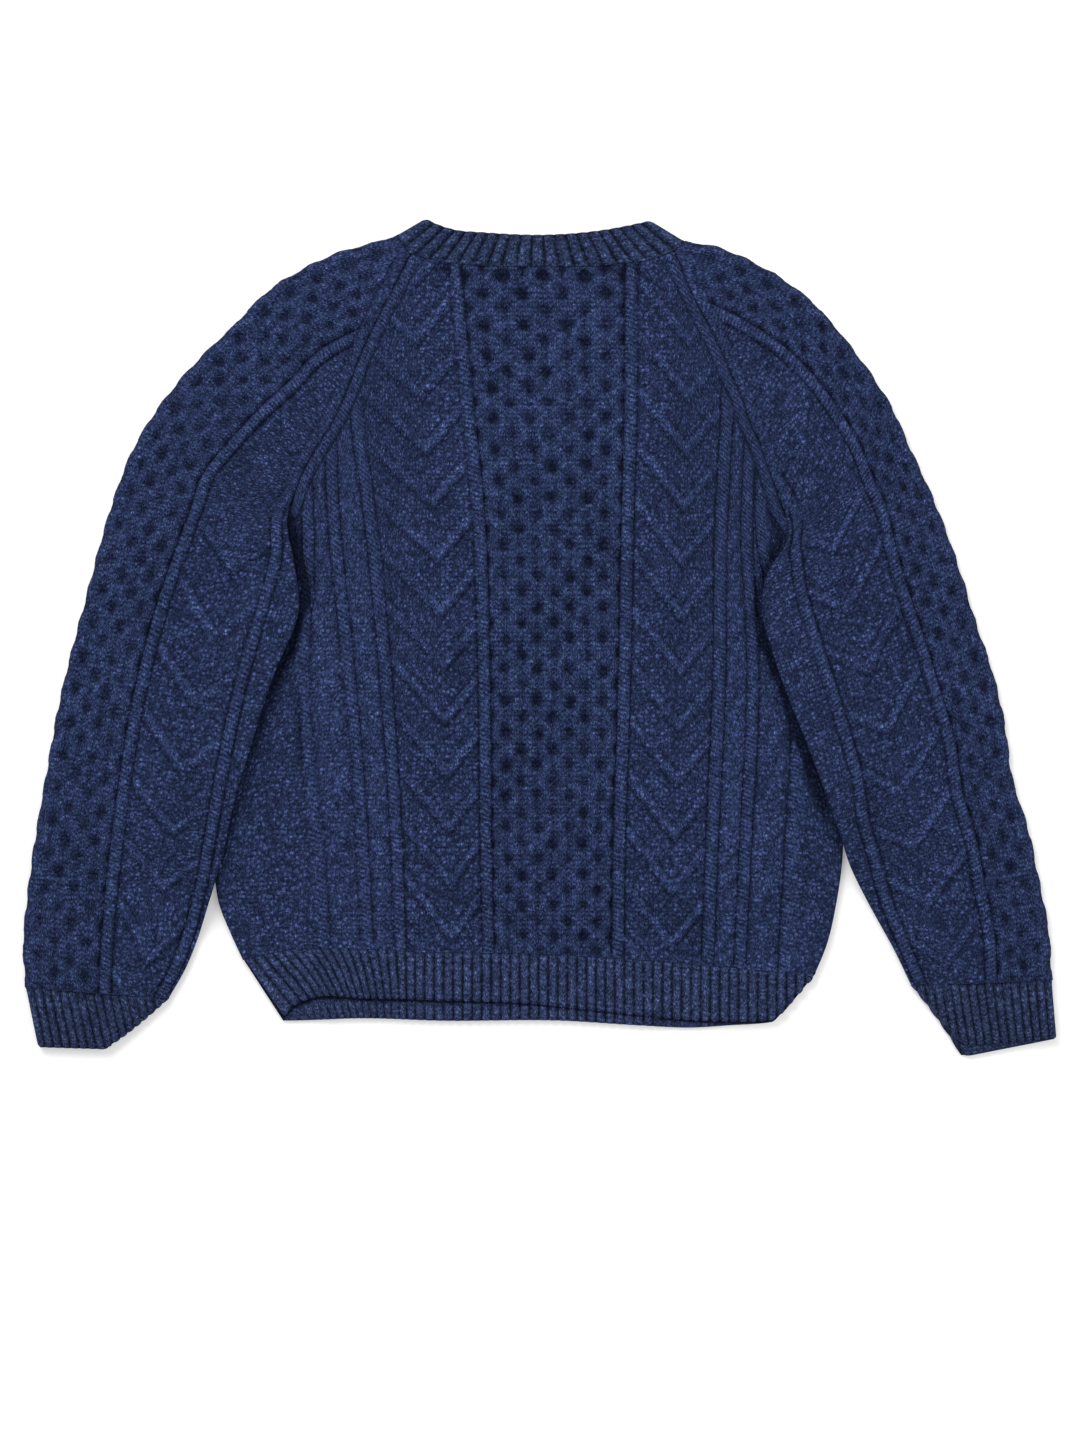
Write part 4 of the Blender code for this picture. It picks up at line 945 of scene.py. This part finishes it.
def ribbed_tube(name, back, front, ribs, span, material, courses, rib=None, even=1.0):
    """A ribbed tube lying flat: `back` and `front` map (share across, share along) to x, y and lift.

    With a width `rib`, its ribs run side by side from the first fold when `even` is 1, and fan out as
    the tube does when it is 0. Without a width they fan out.
    """
    fold = FOLD / span
    base, share, run, top = tube_form(back, front, ribs, fold, courses)
    across = int(top[0].sum())
    count = share * ribs
    if rib:
        width = np.hypot(*(base[:, across - 1, :2] - base[:, 0, :2]).T)[:, None]
        count = share * width**even * width[-1] ** (1 - even) / rib
    crown = rib_shape(count)
    edge = np.minimum(share, 1 - share) / fold
    height = (RIB_HEIGHT * crown - RIB_SINK) * np.where(top, 1.0, ease(1 - edge))
    height = height * (0.35 + 0.65 * ease(edge - 0.1))
    length = np.hypot(*(base[-1, :, :2] - base[0, :, :2]).T)
    from_free, to_seam = run * length, (1 - run) * length
    height = height * at_seam(to_seam) - np.where(top, 1.7, 0.6) * rounded(from_free)
    around = np.where(top, count, 2 * ribs - count)
    # Painted light: the under layer is coloured lighter by a raised relief value
    stitch, place = rib_stitch(crown, around, from_free, np.where(top, 0.0, 2.5))
    lining = rib_lining(crown, 0.7, from_free, to_seam)
    return shell_of(
        name, base, height, place, stitch, True, slice(20, across - 20), INNER_RIB_STEP,
        material, lining,
    )


def cuff(name, sleeve, edge_row, corners, rib, even, material):
    """A cuff from the sleeve's first section to its own narrower free edge."""
    outer_start, inner_start, _ = sleeve.section(np.zeros(1))
    outer_start, inner_start = outer_start[0], inner_start[0]
    outer_edge, inner_edge = np.array(edge_row[:2], float), np.array(edge_row[2:4], float)
    beyond = edge_row[4]

    def place(share, along, extra=0.0):
        down = 1 - along
        narrowing = down * (1.35 - 0.35 * down)
        start = outer_start + (inner_start - outer_start) * share[..., None]
        end = outer_edge + (inner_edge - outer_edge) * share[..., None]
        x, y = np.moveaxis(start + (end - start) * narrowing[..., None], -1, 0)
        corner = corners[0] * ease((0.06 - share) / 0.06) + corners[1] * ease((share - 0.86) / 0.14) ** 2
        y = y - SEAM_GAP / 2 * (along == 1) + (corner - extra) * down * down
        return x, y, sleeve.lift(x, y)

    def under(share, along):
        return place(share, along, beyond * share)

    return ribbed_tube(name, place, under, CUFF_RIBS, 90.0, material, 36, rib, even)


def band_seam(neck):
    """The neckband's seam: straight across each sleeve's end, and curved along the panel."""
    left, right = SLEEVE_LEFT[-1][:2], SLEEVE_RIGHT[-1][:2]
    curve = np.concatenate([[left], traced(neck), [right]])
    return inset(evenly(curve), -0.6 * SEAM_GAP)


def along_curve(curve, share):
    """x and y at a share of the way along an evenly stepped curve."""
    at = share * (len(curve) - 1)
    knots = np.arange(len(curve))
    return np.interp(at, knots, curve[:, 0]), np.interp(at, knots, curve[:, 1])


def neckband(material):
    """The neckband, a tube between its seam and its free edge."""

    def layer(neck, band):
        seam, free = band_seam(neck), traced(band)

        def place(share, along):
            x1, y1 = along_curve(free, share)
            x2, y2 = along_curve(seam, share)
            return x1 + (x2 - x1) * along, y1 + (y2 - y1) * along, 0.0 * share

        return place

    back, front = layer(NECK_BACK, BAND_BACK), layer(NECK_FRONT, BAND_FRONT)
    return ribbed_tube("neck_knit", back, front, NECK_RIBS, 225.0, material, 28)


def hem_grid(free_edge, fine, courses):
    """A hem strip's x, y, share across, distances from the free edge and the seam, level and ribs."""
    seam, free = hem_seam - [0, 0.6 * SEAM_GAP], traced(free_edge)
    width = seam[-1, 0] - seam[0, 0]
    fold = FOLD / width
    first = fold_shares(fold)
    ribs = round(width / BODY_RIB)
    shares = np.concatenate([first, np.linspace(fold, 1 - fold, fine * ribs), 1 - first[::-1]])
    share, run = np.meshgrid(shares, np.linspace(0, 1, courses))
    x1, y1 = along_curve(free, share)
    x2, y2 = along_curve(seam, share)
    y1 = y1 + HEM_CORNER * ease((share - 0.972) / 0.028) ** 2
    x, y = x1 + (x2 - x1) * run, y1 + (y2 - y1) * run
    lean = (free[0, 0] - seam[0, 0]) * (1 - run) * ease((HEM_STRAIGHT - x) / HEM_LEAN)
    count = (x - lean - seam[0, 0]) / BODY_RIB
    length = np.hypot(x2 - x1, y2 - y1)
    return x, y, share, run * length, (1 - run) * length, fold_level(share, fold), count


def hem_back(material):
    """The back layer's hem."""
    x, y, _, from_free, to_seam, level, count = hem_grid(HEM_BACK, RIB_GRAIN, 34)
    base = np.stack([x, y, FOLD + np.maximum(level, SEAM_GAP / 2)], -1)
    crown = rib_shape(count)
    height = (RIB_HEIGHT * crown - RIB_SINK) * at_seam(to_seam) - 1.7 * rounded(from_free)
    stitch, place = rib_stitch(crown, count, from_free)
    lining = rib_lining(crown, 0.5, from_free, to_seam)
    return shell_of(
        "hem_knit_back", base, height, place, stitch, False, slice(20, -20), INNER_RIB_STEP,
        material, lining,
    )


def hem_front(material):
    """The front layer's hem: its inner face shows where it comes out from under the back one."""
    x, y, share, from_free, _, level, count = hem_grid(HEM_FRONT, 8, 34)
    crown = rib_shape(count)
    shown = ease((share - 0.05) / 0.05) * ease((0.78 - share) / 0.05) * ease((16 - from_free) / 5)
    raised = FOLD - HOLLOW / 2 + (RIB_HEIGHT * crown * 0.9) * shown - 1.2 * rounded(from_free)
    ends = ease(level / FOLD / 0.9)
    upper = np.stack([x, y, raised * ends + (FOLD - SEAM_GAP / 2) * (1 - ends)], -1)
    lower = np.stack([x, y, np.minimum(FOLD - level, FOLD - SEAM_GAP / 2)], -1)
    strip = y_of(traced(HEM_BACK), x) - y_of(traced(HEM_FRONT), x)
    # Painted shadow where the back hem's free edge lies over this one, and painted light and shade on the
    # ribs that show
    back_hem_painted_shadow = ease((from_free - strip + 3.0) / 3.5)
    stitch, place = rib_stitch(crown, count, from_free, RIB_HEIGHT * (crown - 0.5) * shown - 3.0 * back_hem_painted_shadow)
    return two_faced("hem_knit_front", upper, lower, place, stitch, False, 4, material)


# --- Wool ---


class Nodes:
    """Small helper that adds and links a material's nodes."""

    def __init__(self, name):
        self.material = bpy.data.materials.new(name)
        self.material.use_nodes = True
        self.tree = self.material.node_tree
        self.shader = self.tree.nodes["Principled BSDF"]

    def add(self, kind, **settings):
        node = self.tree.nodes.new(kind)
        for key, value in settings.items():
            setattr(node, key, value)
        return node

    def put(self, socket, value):
        if isinstance(value, bpy.types.NodeSocket):
            self.tree.links.new(value, socket)
        else:
            socket.default_value = value

    def shaded(self, values):
        """The finished material, with these values of its shader."""
        for name, value in values.items():
            self.put(self.shader.inputs[name], value)
        return self.material

    def calc(self, operation, *values):
        """One step of arithmetic on sockets and numbers."""
        node = self.add("ShaderNodeMath", operation=operation)
        for socket, value in zip(node.inputs, values):
            self.put(socket, value)
        return node.outputs[0]

    def times(self, a, b):
        return self.calc("MULTIPLY", a, b)

    def line(self, value, slope, start):
        """`start` plus `slope` times the value."""
        return self.calc("MULTIPLY_ADD", value, slope, start)

    def wave(self, value, pace):
        """0 to 1 and back each time that value times pace goes round the circle."""
        return self.line(self.calc("COSINE", self.times(value, pace)), 0.5, 0.5)

    def parts(self, vector):
        node = self.add("ShaderNodeSeparateXYZ")
        self.put(node.inputs[0], vector)
        return node.outputs[0], node.outputs[1], node.outputs[2]

    def attribute(self, name):
        return self.parts(self.add("ShaderNodeAttribute", attribute_name=name).outputs["Vector"])

    def noise(self, vector, scale, detail=2.0, rough=0.5):
        node = self.add("ShaderNodeTexNoise")
        self.put(node.inputs["Vector"], vector)
        self.put(node.inputs["Scale"], scale)
        self.put(node.inputs["Detail"], detail)
        self.put(node.inputs["Roughness"], rough)
        return node.outputs[0]

    def joined(self, x, y, z=0.0):
        node = self.add("ShaderNodeCombineXYZ")
        for socket, value in zip(node.inputs, (x, y, z)):
            self.put(socket, value)
        return node.outputs[0]

    def ramp(self, factor, stops):
        node = self.add("ShaderNodeValToRGB")
        self.put(node.inputs[0], factor)
        elements = node.color_ramp.elements
        while len(elements) < len(stops):
            elements.new(0.5)
        for element, (position, colour) in zip(elements, stops):
            element.position = position
            element.color = (*colour, 1)
        return node.outputs[0]


def legs(n, u, v):
    """Plain knit: two slanting legs in every stitch."""
    column = n.calc("FRACT", n.calc("DIVIDE", u, STITCH_WIDTH))
    leg = n.calc("ABSOLUTE", n.line(column, 2.0, -1.0))
    slant = n.line(leg, -0.6, n.calc("DIVIDE", v, STITCH_HEIGHT))
    side = n.calc("POWER", n.calc("SINE", n.times(leg, math.pi)), 0.5)
    return n.times(n.wave(slant, math.tau), side)


def pebbles(n, u, v):
    """Moss: the heights of a pebbled field, and a number that each pebble has for itself."""
    field = n.add("ShaderNodeTexVoronoi", feature="F1")
    spot = n.joined(n.calc("DIVIDE", u, PEBBLE_WIDTH), n.calc("DIVIDE", v, PEBBLE_HEIGHT))
    n.put(field.inputs["Vector"], spot)
    n.put(field.inputs["Scale"], 1.0)
    n.put(field.inputs["Randomness"], 0.6)
    height = n.line(n.calc("POWER", field.outputs["Distance"], 1.5), -2.5, 1.0)
    return n.calc("MAXIMUM", height, 0.0), n.parts(field.outputs["Color"])[0]


def fibres(n, u, v, tint):
    """Light and dark fibres spun together."""
    flecks = n.noise(n.joined(n.times(u, 1.5), n.times(v, 0.62)), 0.62, 4.0, 0.8)
    looks = ((0.36, 0.34, 0.0), (0.50, 1.02, 0.0), (0.58, 2.0, 0.012), (0.68, 3.4, 0.050))
    return n.ramp(flecks, [(stop, tuple(gain * c + glow for c in tint)) for stop, gain, glow in looks])


def wool(name, tint):
    """Heathered wool: moss, ladder and plain stitches by their places, over fibres of mixed blues, with
    painted shade between the stitches and in the hollows and painted light on the crests and the moss.
    """
    n = Nodes(name)
    across, along, relief = n.attribute("place")
    moss, ladder, knit = n.attribute("stitch")
    flat = n.joined(across, along)
    # The stitches wander a little from their rows and columns
    u = n.line(n.noise(flat, 0.22, 3.0), 3.4, across)
    v = n.line(n.noise(n.joined(along, across), 0.25, 3.0), 3.4, along)
    pebble, lot = pebbles(n, u, v)
    bars = n.wave(n.line(u, 0.35, v), math.tau / STITCH_HEIGHT)
    # Pebbles show through the ropes and the plain knit as well, since the yarn is thick and uneven
    smooth_part = n.line(bars, ladder, n.times(legs(n, u, v), knit))
    stitches = n.line(pebble, n.line(moss, 0.5, 0.5), n.times(smooth_part, 0.5))
    strands = n.noise(n.joined(n.times(u, 0.6), v), 0.8, 3.0, 0.7)
    bump = n.add("ShaderNodeBump")
    n.put(bump.inputs["Strength"], 1.0)
    n.put(bump.inputs["Distance"], 2.2 * MM)
    n.put(bump.inputs["Height"], n.line(strands, 0.9, stitches))
    # Painted shade down between the stitches and in the hollows of the relief, painted light on its crests
    # and over the moss; the colour is also uneven from yarn to yarn
    between = n.times(n.line(stitches, 0.9, 0.36), n.line(lot, 0.7, 0.65))
    between = n.times(between, n.line(moss, 0.26, 1.0))
    painted_relief_shade = n.calc("MINIMUM", n.line(relief, 0.36, 0.95), n.line(relief, 0.11, 0.95))
    painted_relief_shade = n.calc("MAXIMUM", painted_relief_shade, 0.28)
    patches = n.line(n.noise(flat, 0.02, 2.0), 0.5, 0.75)
    mix = n.add("ShaderNodeVectorMath", operation="SCALE")
    n.put(mix.inputs[0], fibres(n, u, v, tint))
    n.put(mix.inputs["Scale"], n.times(n.times(between, painted_relief_shade), patches))
    return n.shaded({
        "Base Color": mix.outputs[0], "Roughness": 0.95, "Specular IOR Level": 0.03,
        "Sheen Weight": 0.05, "Sheen Roughness": 0.5, "Sheen Tint": (0.30, 0.42, 0.85, 1),
        "Normal": bump.outputs[0],
    })


def paper():
    """The pale table."""
    n = Nodes("paper")
    where = n.add("ShaderNodeTexCoord").outputs["Object"]
    grain = n.noise(where, 900.0, 2.0)
    shades = n.ramp(grain, [(0.3, (0.88, 0.88, 0.88)), (0.7, (0.92, 0.92, 0.92))])
    return n.shaded({
        "Base Color": shades, "Roughness": 0.9, "Emission Color": (1, 1, 1, 1), "Emission Strength": 0.2,
    })


# --- Studio ---


def light(name, size, power, spot):
    """A square lamp that faces the middle of the table."""
    lamp = bpy.data.lights.new(name, "AREA")
    lamp.shape = "SQUARE"
    lamp.size = size
    lamp.energy = power
    lamp.color = (1.0, 0.99, 0.97)
    holder = bpy.data.objects.new(name, lamp)
    holder.location = spot
    x, y, z = spot
    holder.rotation_euler = (math.atan2(math.hypot(x, y), z), 0.0, math.atan2(x, -y))
    bpy.context.scene.collection.objects.link(holder)


def studio():
    """The table, soft light from all round, a key lamp at the upper left and a fill lamp."""
    far = FLOOR_HALF
    mesh = bpy.data.meshes.new("floor")
    mesh.from_pydata([(-far, -far, 0), (far, -far, 0), (far, far, 0), (-far, far, 0)], [], [(0, 1, 2, 3)])
    mesh.materials.append(paper())
    floor = bpy.data.objects.new("floor", mesh)
    floor.location.z = -FLOOR_DROP
    bpy.context.scene.collection.objects.link(floor)
    world = bpy.data.worlds.new("studio")
    world.use_nodes = True
    background = world.node_tree.nodes["Background"]
    background.inputs["Color"].default_value = (1, 1, 1, 1)
    background.inputs["Strength"].default_value = 0.55
    bpy.context.scene.world = world
    light("key", 1.6, 55.0, (-1.0, 1.7, 1.9))
    light("fill", 2.4, 22.0, (1.6, -0.4, 2.2))
    bpy.context.scene.view_settings.view_transform = "Standard"


def camera():
    """Straight above, as the photograph was taken."""
    data = bpy.data.cameras.new("camera")
    data.lens = CAMERA_LENS
    data.sensor_width = 36.0
    holder = bpy.data.objects.new("camera", data)
    holder.location = CAMERA_PLACE
    bpy.context.scene.collection.objects.link(holder)
    bpy.context.scene.camera = holder


def main():
    # The cuff and hem materials carry painted light in their tints, and the neck material carries painted
    # shade
    knit, rib = wool("navy_wool", BODY_TINT), wool("navy_cuff_wool_painted_light", CUFF_LIT_TINT)
    neck, hem = wool("navy_neck_wool_painted_shade", NECK_SHADED_TINT), wool("navy_hem_wool_painted_light", HEM_LIT_TINT)
    left = Sleeve(SLEEVE_LEFT, raglan_left, side_left, FRONT_NECK_LEFT, 10)
    right = Sleeve(SLEEVE_RIGHT, raglan_right, side_right, FRONT_NECK_RIGHT, 12)
    sleeves = (
        ("sleeve_knit_left", left, 5, SLEEVE_CHEVRON_LEFT, LEFT_CREASES),
        ("sleeve_knit_right", right, 4, SLEEVE_CHEVRON_RIGHT, RIGHT_CREASES),
    )
    cuffs = (
        ("cuff_knit_left", left, CUFF_LEFT, CUFF_CORNERS_LEFT, CUFF_RIB, 1.0),
        ("cuff_knit_right", right, CUFF_RIGHT, CUFF_CORNERS_RIGHT, CUFF_RIB, 0.85),
    )
    pieces = {
        # node: its piece, flat width and length, flat area and what it lies on
        "back_panel": (back_panel(knit), 0.53, 0.60, 0.275, ["front_knit"]),
        "front_panel": (front_panel(knit), 0.53, 0.54, 0.262, ["floor"]),
        "sleeve_left": (sleeve_piece(*sleeves[0], knit), 0.36, 0.76, 0.195, ["floor", "back_knit"]),
        "sleeve_right": (sleeve_piece(*sleeves[1], knit), 0.36, 0.74, 0.190, ["floor", "back_knit"]),
        "cuff_left": (cuff(*cuffs[0], rib), 0.20, 0.055, None, ["floor"]),
        "cuff_right": (cuff(*cuffs[1], rib), 0.20, 0.055, None, ["floor"]),
        "neckband": (neckband(neck), 0.56, 0.033, None, ["floor"]),
        "hem_rib_back": (hem_back(hem), 0.49, 0.043, None, ["hem_knit_front"]),
        "hem_rib_front": (hem_front(hem), 0.49, 0.056, None, ["floor"]),
    }
    for node, (piece, width, length, area, under) in pieces.items():
        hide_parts(node)
        print(node, len(piece.data.polygons), "faces")


main()
studio()
camera()
